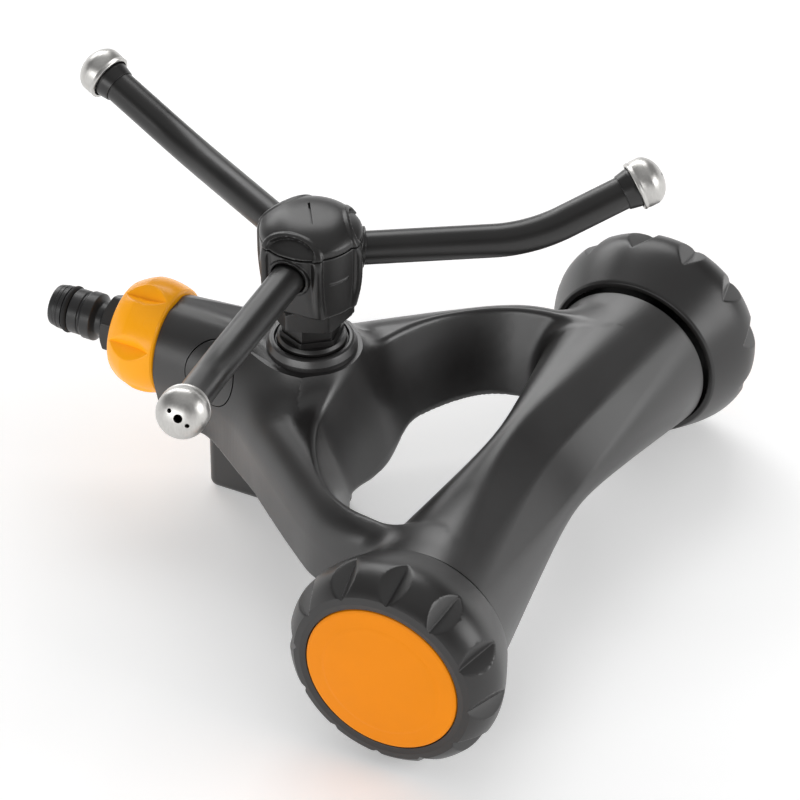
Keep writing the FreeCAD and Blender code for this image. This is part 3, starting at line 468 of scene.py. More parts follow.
# The orange nut gets a painted glow, a faint emission that makes it look more brightly lit.
ORANGE_NUT = plastic("orange_nut_plastic", (1.00, 0.40, 0.008), 0.24, 0.02, variation=0.04,
                     grain_scale=1800.0, specular=0.3, painted_glow=0.14)
ORANGE_DISC = plastic("orange_disc_plastic", (0.90, 0.27, 0.002), 0.38, 0.02, variation=0.03,
                      grain_scale=1800.0, specular=0.15)
PALE = plastic("pale_acetal", (0.62, 0.60, 0.54), 0.42, 0.05, variation=0.05)
RUBBER = plastic("seal_rubber", (0.010, 0.010, 0.010), 0.62, 0.20, specular=0.35)
STEEL = metal("bright_steel", (0.62, 0.61, 0.59), 0.28, (1.0, 1.0, 0.15))
CAP_STEEL = metal("satin_steel_cap", (0.60, 0.59, 0.57), 0.36, (1.0, 1.0, 0.3), brush_scale=1600.0)
BRASS = metal("brass", (0.70, 0.48, 0.20), 0.32, (1.0, 1.0, 0.2))

SLOT_MATERIALS = {
    "shell_black": SHELL, "fitting_black": FITTING, "rotor_black": ROTOR, "wheel_black": WHEEL,
    "orange_plastic": ORANGE_NUT, "steel": STEEL, "brushed_cap": CAP_STEEL, "brass": BRASS,
    "pale_plastic": PALE, "seal_rubber": RUBBER,
}

# ---------------------------- carriage body

FLANGE_RADIUS = 28.3
FLANGE_Y = WHEEL_INNER - 1.8
NECK_X = NUT_HIGH[0] + 0.3
NECK_RADIUS = 16.6
NECK_ROOT_X = 2.0
NECK_ROOT_RADIUS = 20.6
BOSS_TOP = COLLAR_TOP - 4.3
BOSS_FOOT_RADIUS = 24.5
BOSS_TIP_RADIUS = 15.9
BODY_BOTTOM = 30.0
BODY_EDGE = 1.2

# Plan view of the +Y half: the outer edge of the leg and the edge of the opening between the legs.
LEG_OUTSIDE = plan_curve([(-70, 12.0), (-46, 15.0), (-32, 17.6), (-20, 23.6), (-6, 35.2), (8.5, 47.4),
                          (22, 58.4), (37, 69.4), (50, 76.0), (70, 79.5), (100, 80.5)])
OPENING_EDGE = plan_curve([(12.2, -12), (12.0, 0), (12.2, 10), (13.6, 19), (16.6, 29), (21.9, 40),
                           (28.5, 49.6), (37, 57.6), (46, 62.0), (56, 64.0), (80, 64.5)])
OPENING_TOP = 60.6
OPENING_LEAN = 0.40
OPENING_ROUND = 2.0
LEG_TOP = 60.4
LEG_SHOULDER = 15.0
# Where the legs end inside the crossbar, sideways and forwards, and how softly.
LEG_END, LEG_END_ROUND = 74.5, 9.0
LEG_FRONT, LEG_FRONT_ROUND = 86.0, 8.0
# How wide the blends with the boss, the neck and the crossbar are.
BOSS_BLEND, NECK_BLEND, BAR_BLEND = 14.0, 9.0, 6.0

# Centres of the rounded corners of the crossbar's section at its waist, as (x, z).
WAIST = [(75.4, 53.0), (77.5, 39.5), (90.0, 38.5), (95.4, 38.0), (86.6, 47.0)]
WAIST_ROUND = 6.4
WAIST_SOFTNESS = 0.20

# The recess under the body, which the underside cover closes.
RECESS_RIM = 3.6
RECESS_TOP = 33.0
RECESS_FRONT = 74.0
COVER_GAP = 0.3
COVER_MIDDLE = 31.7
COVER_THICKNESS = 2.2

PLUG_X = -30.0
PLUG_Z = 58.0
PLUG_RADIUS = 9.9
PLUG_GAP = 0.4
PLUG_FLOOR = -7.0
PLUG_BEYOND = -40.0


def crossbar_field(x, y, z):
    """Waisted bar between the wheels that opens like a trumpet into a flange at each end."""
    share = np.abs(y) / FLANGE_Y
    grow = (np.sqrt(share ** 2 + WAIST_SOFTNESS ** 2) - WAIST_SOFTNESS) / (
        math.sqrt(1 + WAIST_SOFTNESS ** 2) - WAIST_SOFTNESS)
    grow = np.minimum(grow, 1.0)
    points = [(px + (AXLE_X - px) * grow, pz + (AXLE_Z - pz) * grow) for px, pz in WAIST]
    return convex(x, z, points) - (WAIST_ROUND + (FLANGE_RADIUS - WAIST_ROUND) * grow)


def leg_field(x, y, z):
    """Both legs as one slab with a rounded outer shoulder."""
    along = np.abs(y)
    across = beside(x, along, LEG_OUTSIDE) + LEG_SHOULDER
    above = z - (LEG_TOP - LEG_SHOULDER)
    slab = np.sqrt(np.maximum(across, 0) ** 2 + np.maximum(above, 0) ** 2) + np.minimum(
        np.maximum(across, above), 0) - LEG_SHOULDER
    slab = meet(slab, BODY_BOTTOM - z, BODY_EDGE)
    slab = meet(slab, along - LEG_END, LEG_END_ROUND)
    return meet(slab, x - LEG_FRONT, LEG_FRONT_ROUND)


def opening_field(x, y, z):
    """Inside of the opening between the legs."""
    return beside(x, np.abs(y), OPENING_EDGE) + OPENING_LEAN * (OPENING_TOP - z)


def cone_field(along, across, start, finish, start_radius, finish_radius):
    """Cone about an axis: along is the place on the axis and across the distance from it."""
    share = np.clip((along - start) / (finish - start), 0, 1)
    side = across - (start_radius + (finish_radius - start_radius) * share)
    return np.maximum(side, np.maximum(start - along, along - finish))


def limbs_field(x, y, z):
    """The legs, the boss and the neck, blended into one another."""
    reach = np.sqrt(x * x + y * y)
    boss = cone_field(z, reach, BODY_BOTTOM, BOSS_TOP + 4, BOSS_FOOT_RADIUS, BOSS_TIP_RADIUS)
    boss = meet(boss, BODY_BOTTOM - z, BODY_EDGE)
    neck_across = np.sqrt(y * y + (z - INLET_Z) ** 2)
    neck = cone_field(x, neck_across, NECK_X - 4, NECK_ROOT_X, NECK_RADIUS, NECK_ROOT_RADIUS)
    legs = meet(leg_field(x, y, z), -opening_field(x, y, z), OPENING_ROUND)
    return join(join(legs, boss, BOSS_BLEND), neck, NECK_BLEND)


def body_field(x, y, z):
    """The whole carriage body with the recess under it."""
    limbs = limbs_field(x, y, z)
    hollow = np.maximum(limbs + RECESS_RIM, np.maximum(z - RECESS_TOP, x - RECESS_FRONT))
    return meet(join(limbs, crossbar_field(x, y, z), BAR_BLEND), -hollow, 0.4)


def cover_field(x, y, z):
    """The plate that closes the recess."""
    inside = np.maximum(limbs_field(x, y, z) + RECESS_RIM + COVER_GAP, x - RECESS_FRONT + 0.4)
    return meet(inside, np.abs(z - COVER_MIDDLE) - COVER_THICKNESS / 2, 0.5)


def trim(mesh, cuts):
    """Cut a mesh off at planes, given as (point in metres, outward direction), and close it again."""
    solid = bmesh.new()
    solid.from_mesh(mesh)
    for point, outward in cuts:
        parts = solid.verts[:] + solid.edges[:] + solid.faces[:]
        bmesh.ops.bisect_plane(solid, geom=parts, plane_co=point, plane_no=outward, clear_outer=True,
                               dist=1e-7)
        open_edges = [edge for edge in solid.edges if edge.is_boundary]
        bmesh.ops.edgeloop_fill(solid, edges=open_edges)
    bmesh.ops.recalc_face_normals(solid, faces=solid.faces[:])
    solid.to_mesh(mesh)
    solid.free()


def carved(mesh, cutter, operation):
    """Cut one closed mesh with another, as DIFFERENCE or INTERSECT."""
    block = bpy.data.objects.new("block", mesh)
    tool = bpy.data.objects.new("tool", cutter)
    for item in (block, tool):
        bpy.context.scene.collection.objects.link(item)
    cut = block.modifiers.new("cut", "BOOLEAN")
    cut.operation = operation
    cut.solver = "EXACT"
    cut.object = tool
    shaped = bpy.data.meshes.new_from_object(block.evaluated_get(bpy.context.evaluated_depsgraph_get()))
    for item in (block, tool):
        bpy.data.objects.remove(item)
    return shaped


def settled(solid):
    """A mesh from a bmesh, which is freed."""
    mesh = bpy.data.meshes.new("solid")
    solid.to_mesh(mesh)
    solid.free()
    return mesh


def rod_mesh(start, finish, radius, segments=120):
    """Cylinder between two points in millimetres, as a cutting tool."""
    solid = bmesh.new()
    axis = Vector(finish) - Vector(start)
    turn = axis.to_track_quat("Z", "Y").to_matrix().to_4x4()
    place = Matrix.Translation((Vector(start) + axis / 2) * MM) @ turn
    bmesh.ops.create_cone(solid, cap_ends=True, segments=segments, radius1=radius * MM, radius2=radius * MM,
                          depth=axis.length * MM, matrix=place)
    return settled(solid)


def read(items, attribute, width=1, kind=float):
    """One attribute of all vertices, loops or faces, as an array."""
    values = np.empty(len(items) * width, dtype=kind)
    items.foreach_get(attribute, values)
    return values.reshape(-1, width)


def shade_from(mesh, field, limit=35.0):
    """Smooth shading from a field's slope, except where a cut leaves the field's surface."""
    slope = slope_of(field, read(mesh.vertices, "co", 3) / MM)
    slope /= np.maximum(np.linalg.norm(slope, axis=1, keepdims=True), 1e-9)
    smooth = slope[read(mesh.loops, "vertex_index", kind=np.int32)[:, 0]]
    sizes = read(mesh.polygons, "loop_total", kind=np.int32)[:, 0]
    flat = np.repeat(read(mesh.polygons, "normal", 3), sizes, axis=0)
    agrees = (smooth * flat).sum(axis=1) > math.cos(math.radians(limit))
    mesh.normals_split_custom_set(np.where(agrees[:, None], smooth, flat).tolist())


def make_body():
    """Carriage body, flat at the flanges, the neck's end and the boss, with a pocket for the plug."""
    low = (NECK_X - 2, -FLANGE_Y - 2.5, 6)
    high = (AXLE_X + 31, FLANGE_Y + 2.5, BOSS_TOP + 3)
    mesh = skin_mesh(body_field, low, high, 1.0)
    trim(mesh, [((0, FLANGE_Y * MM, 0), (0, 1, 0)), ((0, -FLANGE_Y * MM, 0), (0, -1, 0)),
                ((NECK_X * MM, 0, 0), (-1, 0, 0)), ((0, 0, BOSS_TOP * MM), (0, 0, 1))])
    pocket = rod_mesh((PLUG_X, PLUG_FLOOR, PLUG_Z), (PLUG_X, PLUG_BEYOND, PLUG_Z), PLUG_RADIUS + PLUG_GAP)
    mesh = carved(mesh, pocket, "DIFFERENCE")
    piece = housed("carriage_body", mesh, SHELL, "carriage", ["body_shell"])
    shade_from(piece.data, body_field)


def plug_field(x, y, z):
    """A block of the neck that the side plug is cut from."""
    from_axis = np.sqrt((x - PLUG_X) ** 2 + (z - PLUG_Z) ** 2)
    return np.maximum(limbs_field(x, y, z) - 0.12, np.maximum(from_axis - PLUG_RADIUS - 2, y + 5.0))


def make_plug():
    """Round plug in the neck's side, flush with the neck."""
    mesh = skin_mesh(plug_field, (PLUG_X - 14, -24, PLUG_Z - 14), (PLUG_X + 14, -4, PLUG_Z + 14), 0.8)
    rod = rod_mesh((PLUG_X, PLUG_FLOOR - 0.2, PLUG_Z), (PLUG_X, PLUG_BEYOND, PLUG_Z), PLUG_RADIUS)
    mesh = carved(mesh, rod, "INTERSECT")
    piece = housed("neck_side_plug", mesh, SHELL, "carriage", ["neck_plug"])
    shade_from(piece.data, limbs_field)


def make_cover():
    """Plate under the body."""
    step = 0.9
    mesh = skin_mesh(cover_field, (NECK_X, -FLANGE_Y, 28.5), (RECESS_FRONT + 2, FLANGE_Y, 35), step)
    piece = housed("underside_cover", mesh, SHELL, "carriage", ["bottom_cover"])
    shade_from(piece.data, cover_field)


FOOT_ROUND = 3.2


def foot_field(x, y, z):
    """Rear foot: an upright block with rounded edges."""
    middle = (FOOT_LOW + FOOT_HIGH) / 2
    half = (FOOT_HIGH - FOOT_LOW) / 2 - FOOT_ROUND
    gap_x = np.abs(x - middle[0]) - half[0]
    gap_y = np.abs(y) - half[1]
    gap_z = np.abs(z - middle[2]) - half[2]
    outside = np.sqrt(np.maximum(gap_x, 0) ** 2 + np.maximum(gap_y, 0) ** 2 + np.maximum(gap_z, 0) ** 2)
    return outside + np.minimum(np.maximum(gap_x, np.maximum(gap_y, gap_z)), 0) - FOOT_ROUND


make_body()
make_plug()
make_cover()
modelled("rear_foot_block", foot_field, FOOT_LOW - 2, FOOT_HIGH + 2, 0.8, SHELL, "carriage",
         ["rear_foot"])

# ---------------------------- wheels

TREAD_DEPTH = 8.5
CROWN_SHARE = 0.62
OUTER_DROP = 6.2
INNER_SLOPE = 0.49
CROWN_SOFTNESS = 6.0
RIM_START = 0.8
RIM_BORE = 28.9
RIM_EDGE = 30.6
HUB_BORE, HUB_RADIUS = 3.1, 8.0
WEB_START = 22.0
NOTCH_COUNT = 12
NOTCH_START = 12.6
NOTCH_FALL = 0.36
NOTCH_FLANK = 0.66
DISC_SEAT = WHEEL_WIDTH - 2.6


def notch_relief(phase):
    """Straight V notches that fall from the tread towards the outer face."""
    def relief(angle, radius, height):
        offset = folded(angle, phase, NOTCH_COUNT)
        bottom = WHEEL_RADIUS - NOTCH_FALL * (height - NOTCH_START) + NOTCH_FLANK * np.abs(offset) * radius
        on_tread = (radius > WHEEL_RADIUS - TREAD_DEPTH) & (height > NOTCH_START)
        return np.where(on_tread, np.minimum(radius, bottom), radius), height
    return relief


def wheel_outline():
    """Closed (r, z) outline of the wheel from its inner face (z = 0) to its outer face.

    The tread rises along a soft hyperbola to its crown and falls in an arc to the outer face.
    """
    rim, width = WHEEL_RADIUS, WHEEL_WIDTH
    crown = CROWN_SHARE * width
    arc = ((width - crown) ** 2 + OUTER_DROP ** 2) / (2 * OUTER_DROP)
    from_crown = crown - np.linspace(RIM_START + 0.6, crown, 50)
    fall = INNER_SLOPE * (np.sqrt(from_crown ** 2 + CROWN_SOFTNESS ** 2) - CROWN_SOFTNESS)
    tread = list(zip(rim - fall, crown - from_crown))
    tread += [(rim - arc + math.sqrt(arc ** 2 - (z - crown) ** 2), z)
              for z in np.linspace(crown, width - 0.5, 40)[1:]]
    back = [(HUB_BORE, 0.0), (HUB_RADIUS, 0.0, 0.6), (HUB_RADIUS, WEB_START), (RIM_BORE, WEB_START),
            (RIM_BORE, RIM_START, 0.4), (RIM_EDGE, RIM_START, 0.5)]
    front = [(DISC_RADIUS + 2.4, width, 0.9), (DISC_RADIUS + 0.25, width - 0.35, 0.4),
             (DISC_RADIUS + 0.25, DISC_SEAT), (DISC_RADIUS - 2.4, DISC_SEAT), (HUB_BORE, DISC_SEAT)]
    return rounded(back + tread + front)


def disc_outline():
    """Closed (r, z) outline of the domed cover disc and its faint step; z as for the wheel."""
    top = WHEEL_WIDTH + 1.5
    step_radius = 0.755 * DISC_RADIUS
    dome = []
    for r in np.linspace(DISC_RADIUS - 0.9, 0.0, 60):
        height = top - 1.35 * (r / DISC_RADIUS) ** 2.2
        height -= 0.14 * float(smoothstep(step_radius - 0.25, step_radius + 0.55, r))
        dome.append((r, height))
    edge = [(0.0, WHEEL_WIDTH - 2.2), (DISC_RADIUS, WHEEL_WIDTH - 2.2), (DISC_RADIUS, WHEEL_WIDTH - 0.75),
            (DISC_RADIUS - 0.15, WHEEL_WIDTH - 0.30), (DISC_RADIUS - 0.5, WHEEL_WIDTH - 0.04)]
    return np.array(edge + dome)


for side, label, phase in ((1, "left", 12.0), (-1, "right", -3.0)):
    place = facing((AXLE_X, side * WHEEL_INNER, AXLE_Z), (0, side, 0))
    # The local frame's X axis points along +X on the right wheel and -X on the left one.
    local = math.radians(phase if side < 0 else 180.0 - phase)
    outline = divided(wheel_outline(), 0.7)
    turned(label + "_tread_wheel", outline, place, WHEEL, label + "_wheel",
           [label + "_wheel"], segments=432, relief=notch_relief(local), sharp=22)
    turned(label + "_cover_disc", disc_outline(), place, ORANGE_DISC, label + "_wheel",
           [label + "_hub_disc"], segments=160)

# ---------------------------- union nut and hose connector

NUT_BORE = 13.2
NUT_MOUTH = 9.8
NUT_FLOOR = NUT_LENGTH - 3.5
SCOOP_COUNT = 6
SCOOP_DEPTH = 3.3
SCOOP_FLANK = 0.72
SCOOP_HALF_LENGTH = 8.0
SCOOP_PHASE = math.radians(19.0)
GRIP_INSIDE = 17.0


def scoop_relief(angle, radius, height):
    """Leaf-shaped finger scoops between the grips of the nut."""
    offset = folded(angle, SCOOP_PHASE, SCOOP_COUNT)
    share = (height - 0.5 * NUT_LENGTH) / SCOOP_HALF_LENGTH
    depth = SCOOP_DEPTH * np.clip(1 - share ** 2, 0, 1) - SCOOP_FLANK * np.abs(offset) * radius
    depth = np.where(radius > GRIP_INSIDE, np.clip(depth, 0, None), 0.0)
    return radius - depth, height


def nut_outline():
    """Closed (r, z) outline of the nut from the body's side (z = 0) to its mouth.

    The grip swells at mid-length and narrows over the last third.
    """
    grip = [(18.3 + 2.0 * math.sin(math.pi * min(1.0, s * 1.06)) ** 0.8 - 1.5 * max(0.0, s - 0.62) / 0.38,
             s * NUT_LENGTH) for s in np.linspace(0.03, 0.955, 60)]
    return rounded([(NUT_BORE, 0.0), (17.9, 0.0, 0.5)] + grip
                   + [(16.2, NUT_LENGTH, 1.0), (NUT_MOUTH, NUT_LENGTH), (NUT_MOUTH, NUT_FLOOR),
                      (NUT_BORE, NUT_FLOOR)])


turned("union_nut_grip", divided(nut_outline(), 0.6), facing((NUT_HIGH[0], 0, INLET_Z), (-1, 0, 0)),
       ORANGE_NUT, "union_nut", ["union_nut"], segments=360, relief=scoop_relief, sharp=28)

ADAPTER_FLATS = 19.0
HEX_START = ADAPTER_HIGH[0] - NUT_LOW[0] + 0.3
HEX_LENGTH = 6.5


def hexagon(angle, flats, corner):
    """Radius of a hexagon at an angle, given its size across flats and the angle of one corner."""
    pitch = math.pi / 3
    return flats / 2 / np.cos((angle - corner) % pitch - pitch / 2)


def adapter_relief(angle, radius, height):
    """Flats of the connector's hexagon."""
    on_hex = (height > HEX_START - 0.1) & (height < HEX_START + HEX_LENGTH + 0.1)
    return np.where(on_hex, np.minimum(radius, hexagon(angle, ADAPTER_FLATS, math.pi / 6)), radius), height


def adapter_outline():
    """Closed (r, z) outline of the connector from its flange inside the nut (z = 0) to its nose."""
    flange = [(5.0, 0.0), (12.6, 0.0, 0.4), (12.6, 2.9, 0.3), (9.6, 2.9), (9.6, HEX_START)]
    # Hexagon, waist, barrel, O-ring groove and grooved end, with heights from the start of the hexagon.
    barrel = [(10.8, 0.0, 0.3), (10.8, 5.6, 0.5), (9.5, HEX_LENGTH, 0.4), (6.2, 8.0, 0.8), (6.2, 10.3, 0.8),
              (8.5, 11.8, 0.5), (8.5, 15.4, 0.6), (7.5, 16.3, 0.2), (7.5, 16.9, 0.1), (7.95, 17.2, 0.2),
              (7.95, 20.8, 0.2), (6.5, 20.9), (6.5, 23.4), (7.9, 23.5, 0.2), (7.9, 24.7, 0.1), (7.6, 24.9),
              (7.6, 25.2), (7.8, 25.4, 0.1), (7.75, 26.2, 0.1), (7.45, 26.4), (7.45, 26.7),
              (7.55, 26.9, 0.1)]
    barrel = [(radius, HEX_START + height, *corner) for radius, height, *corner in barrel]
    nose = [(7.2, ADAPTER_LENGTH - 0.4, 1.2), (6.2, ADAPTER_LENGTH, 0.5), (5.2, ADAPTER_LENGTH, 0.3)]
    return rounded(flange + barrel + nose)


turned("hose_nipple", divided(adapter_outline(), 0.6), facing((ADAPTER_HIGH[0], 0, INLET_Z), (-1, 0, 0)),
       FITTING, "hose_adapter", ["hose_adapter"], segments=180, relief=adapter_relief)

# ---------------------------- riser

UPPER_FLATS, UPPER_CORNER = 25.6, math.radians(22)
LOWER_FLATS, LOWER_CORNER = 18.0, math.radians(38)
FLANGE_TOP, GLAND_FOOT_TOP, UPPER_BOTTOM = 75.2, 77.4, 84.0
UPPER_TOP = GLAND_TOP + 0.6


def gland_relief(angle, radius, height):
    """Two hexagons above the round flange of the gland nut."""
    lower = np.minimum(radius, hexagon(angle, LOWER_FLATS, LOWER_CORNER))
    foot = np.minimum(radius, hexagon(angle, LOWER_FLATS + 1.4, LOWER_CORNER))
    upper = np.minimum(radius, hexagon(angle, UPPER_FLATS, UPPER_CORNER))
    shaped = np.where(height > GLAND_FOOT_TOP, lower, foot)
    shaped = np.where(height > UPPER_BOTTOM - 0.1, upper, shaped)
    return np.where(height > FLANGE_TOP + 0.05, shaped, radius), height


def collar_outline():
    """Closed (r, z) outline of the ring on top of the boss."""
    return rounded([
        (12.2, BOSS_TOP - 0.2), (15.7, BOSS_TOP - 0.2), (15.6, BOSS_TOP + 1.6, 0.5),
        (14.6, COLLAR_TOP - 0.4, 0.6), (13.8, COLLAR_TOP, 0.4), (12.9, COLLAR_TOP, 0.3),
        (12.5, COLLAR_TOP - 1.2, 0.3), (12.2, COLLAR_TOP - 1.2)])


def gland_outline():
    """Closed (r, z) outline of the gland nut, before its hexagons are cut."""
    return rounded([
        (5.3, GLAND_BOTTOM), (12.0, GLAND_BOTTOM), (12.0, FLANGE_TOP - 1.1, 0.4), (11.3, FLANGE_TOP, 0.4),
        (11.2, FLANGE_TOP + 0.1), (11.2, GLAND_FOOT_TOP, 0.4), (10.3, GLAND_FOOT_TOP + 0.1),
        (10.3, UPPER_BOTTOM - 0.2), (14.0, UPPER_BOTTOM), (14.6, UPPER_BOTTOM + 0.5, 0.3),
        (14.6, UPPER_TOP - 1.0, 0.4), (13.6, UPPER_TOP, 0.3), (9.4, UPPER_TOP), (9.4, GLAND_TOP),
        (5.3, GLAND_TOP)])


UPRIGHT = Matrix.Identity(4)
turned("riser_collar", collar_outline(), UPRIGHT, SHELL, "carriage", ["boss_collar"])
turned("riser_gland_nut", divided(gland_outline(), 0.7), UPRIGHT, ROTOR, "carriage",
       ["gland_nut"], segments=360, relief=gland_relief)

# ---------------------------- rotor head and cap

HEAD_RADIUS = 17.2
DOME_RADIUS = 18.2
BEAD_ASIDE = 9.6
BEAD_RADIUS = 1.7
SEAM_GAP = 0.22
SLIT_LENGTH, SLIT_WIDTH, SLIT_DEPTH = 12.2, 0.75, 1.4
SLIT_AZIMUTH = ARM_AZIMUTHS[0] - math.pi / 2
LINE_HEIGHT = 106.0
FACE_START, FACE_LEAN = 14.8, 0.13
SOCKET_START = 12.5


def lobe_space(x, y):
    """Distance outwards and sideways in the frame of the nearest arm."""
    angle = folded(np.arctan2(y, x), ARM_AZIMUTHS[0], len(ARM_AZIMUTHS))
    radius = np.sqrt(x * x + y * y)
    return radius * np.cos(angle), radius * np.sin(angle)


def face_at(z):
    """How far out the leaning flat under an arm lies at a height."""
    return FACE_START + FACE_LEAN * (z - HEAD_BOTTOM)


def head_outside(x, y, z):
    """Outer form of the head: a round block with a leaning flat at each arm and a domed top.

    Each flat has a bead along both edges, an arched ridge round a hollow above it, and a short raised line.
    """
    outwards, sideways = lobe_space(x, y)
    wide = np.abs(sideways)
    reach = np.sqrt(x * x + y * y)
    below = HEAD_SEAM - z
    lobe = 0.6 * smoothstep(12.0, 17.0, outwards)
    block = reach - (HEAD_RADIUS + lobe - 0.016 * np.maximum(below, 0))
    block = meet(block, outwards - face_at(z), 0.8)
    bead_outwards = 15.0 - 0.0095 * np.maximum(HEAD_SEAM - 9.0 - z, 0) ** 2
    bead = np.sqrt((outwards - bead_outwards) ** 2 + (wide - BEAD_ASIDE) ** 2) - BEAD_RADIUS
    block = join(block, bead, 0.9)
    rise = np.maximum(-below, 0) / (HEAD_TOP - HEAD_SEAM)
    span = DOME_RADIUS + 0.5 * np.maximum(below, 0)
    dome = 5.9 * (rise ** (4 / 3) + (reach / span) ** 3 - 1)
    block = meet(block, dome, 0.8)
    climb = -0.9 * below + 0.5 * (17.6 - outwards)
    arch = 8 * (np.sqrt((wide / 9.7) ** 2 + ((climb - 1.5) / 6.4) ** 2) - 1)
    above = smoothstep(-0.6, 0.4, -below) * smoothstep(5.0, 8.0, outwards)
    ridge = 0.5 * (1 - smoothstep(0.9, 1.6, np.abs(arch)))
    sunk = 1.5 * smoothstep(0.2, 1.4, -arch) * smoothstep(0.0, 3.5, -below)
    line = 0.3 * np.exp(-((z - LINE_HEIGHT) / 0.35) ** 2) * smoothstep(2.4, 3.6, wide - BEAD_ASIDE)
    return block - above * (ridge - sunk) - line


def head_field(x, y, z):
    """The head below the seam, with a lipped socket for each arm."""
    outwards, sideways = lobe_space(x, y)
    from_arm = np.sqrt(sideways ** 2 + (z - ARM_HEIGHT) ** 2)
    lip = np.maximum(np.abs(from_arm - ARM_RADIUS - 1.05) - 0.55, outwards - face_at(z) - 0.7)
    lip = np.maximum(lip, 10.0 - outwards)
    solid = join(head_outside(x, y, z), lip, 0.3)
    solid = meet(solid, z - (HEAD_SEAM - SEAM_GAP), 0.5)
    solid = meet(solid, HEAD_BOTTOM - z, 1.2)
    socket = np.maximum(from_arm - (ARM_RADIUS + 0.45), SOCKET_START - outwards)
    return meet(solid, -socket, 0.3)


def cap_field(x, y, z):
    """The head above the seam."""
    return meet(head_outside(x, y, z), HEAD_SEAM + SEAM_GAP - z, 0.5)


def slit_mesh():
    """Block that cuts the index slit into the dome."""
    solid = bmesh.new()
    size = Matrix.Diagonal((SLIT_LENGTH * MM, SLIT_WIDTH * MM, 2 * SLIT_DEPTH * MM, 1))
    place = Matrix.Translation((0, 0, HEAD_TOP * MM)) @ Matrix.Rotation(SLIT_AZIMUTH, 4, "Z")
    bmesh.ops.create_cube(solid, size=1.0, matrix=place @ size)
    return settled(solid)


HEAD_STEP = 0.4
# Half the width of the space searched for the head's surface.
HEAD_SPAN = 23
modelled("rotor_housing", head_field, (-HEAD_SPAN, -HEAD_SPAN, HEAD_BOTTOM - 1),
         (HEAD_SPAN, HEAD_SPAN, HEAD_SEAM + 1), HEAD_STEP, ROTOR, "rotor", ["rotor_head"])
dome_mesh = skin_mesh(cap_field, (-HEAD_SPAN, -HEAD_SPAN, HEAD_SEAM - 1),
                      (HEAD_SPAN, HEAD_SPAN, HEAD_TOP + 1), HEAD_STEP)
dome = housed("rotor_dome", carved(dome_mesh, slit_mesh(), "DIFFERENCE"), ROTOR, "rotor",
              ["rotor_cap"])
shade_from(dome.data, cap_field)

# ---------------------------- arms


def arm_path(azimuth):
    """Centre line of an arm as points (mm), with the direction of travel at each."""
    inner = Vector((math.cos(azimuth), math.sin(azimuth), 0))
    aside = Vector((-math.sin(azimuth), math.cos(azimuth), 0))
    level = inner * math.cos(ARM_TURN) + aside * math.sin(ARM_TURN)
    outer = level * math.cos(ARM_RISE) + Vector((0, 0, math.sin(ARM_RISE)))
    bend = inner.angle(outer)
    toward = (outer - inner * inner.dot(outer)).normalized()
    setback = ARM_BEND * math.tan(bend / 2)
    root = Vector((0, 0, ARM_HEIGHT))
    path = [(root + inner * s, inner) for s in np.linspace(ARM_ROOT, ARM_RUN - setback, 14)]
    start = root + inner * (ARM_RUN - setback)
    for s in np.linspace(0, bend, 22)[1:]:
        point = start + inner * (ARM_BEND * math.sin(s)) + toward * (ARM_BEND * (1 - math.cos(s)))
        path.append((point, inner * math.cos(s) + toward * math.sin(s)))
    corner = root + inner * ARM_RUN
    path += [(corner + outer * s, outer) for s in np.linspace(setback, ARM_REACH + ARM_OVERRUN, 12)[1:]]
    return path


def swept(name, path, radius, material, body, replaced, segments=56):
    """Round tube along a path of (point, direction), closed at both ends."""
    vertices, faces = [], []
    for point, direction in path:
        side = direction.cross(Vector((0, 0, 1))).normalized()
        up = side.cross(direction).normalized()
        for k in range(segments):
            angle = 2 * math.pi * k / segments
            vertices.append(point + radius * (side * math.cos(angle) + up * math.sin(angle)))
    for i in range(len(path) - 1):
        for k in range(segments):
            m = (k + 1) % segments
            near, far = i * segments, (i + 1) * segments
            faces.append((near + k, far + k, far + m, near + m))
    faces.append(tuple(range(segments)))
    faces.append(tuple(reversed(range((len(path) - 1) * segments, len(path) * segments))))
    return finished(name, np.array([tuple(v) for v in vertices]), faces, material, body, replaced)


for number, azimuth in enumerate(ARM_AZIMUTHS, start=1):
    swept("arm_tube_%d" % number, arm_path(azimuth), ARM_RADIUS, ROTOR, "rotor",
          ["arm_%d" % number])

# ---------------------------- nozzle caps

CAP_RADIUS, CAP_LENGTH = 8.5, 10.4
CAP_BORE = 7.5
CAP_WALL = 0.9
DOME_HEIGHT = 5.4
DOME_START = CAP_LENGTH - DOME_HEIGHT
BEAD_HEIGHT = 0.12
# Jet holes in a row across the cap, as (distance aside, radius), cut from inside the dome.
JETS = [(0.0, 1.5), (-3.7, 0.75), (3.7, 0.75)]
JET_START = CAP_LENGTH - 4.5


def dome_at(radius, scale=1.0):
    """Height of the cap's dome at a radius, above the start of its curve."""
    return DOME_HEIGHT * scale * (1 - min(1.0, radius / (CAP_RADIUS * scale)) ** 2.3) ** 0.62


def cap_outline():
    """Closed (r, z) outline of a drawn cap: a rolled edge, the domed outside and the bore."""
    neck = CAP_RADIUS - BEAD_HEIGHT
    edge = [(CAP_BORE, 0.0), (CAP_RADIUS - 0.2, 0.0), (CAP_RADIUS, 0.25), (CAP_RADIUS, 0.9), (neck, 1.1),
            (neck, 1.7), (CAP_RADIUS, 1.9)]
    outside = [(r, DOME_START + dome_at(r)) for r in CAP_RADIUS * np.sin(np.linspace(math.pi / 2, 0, 40))]
    inside = [(r, DOME_START - CAP_WALL + dome_at(r, 0.88))
              for r in CAP_BORE * np.sin(np.linspace(0, math.pi / 2, 24))]
    return np.array(edge + outside + inside)


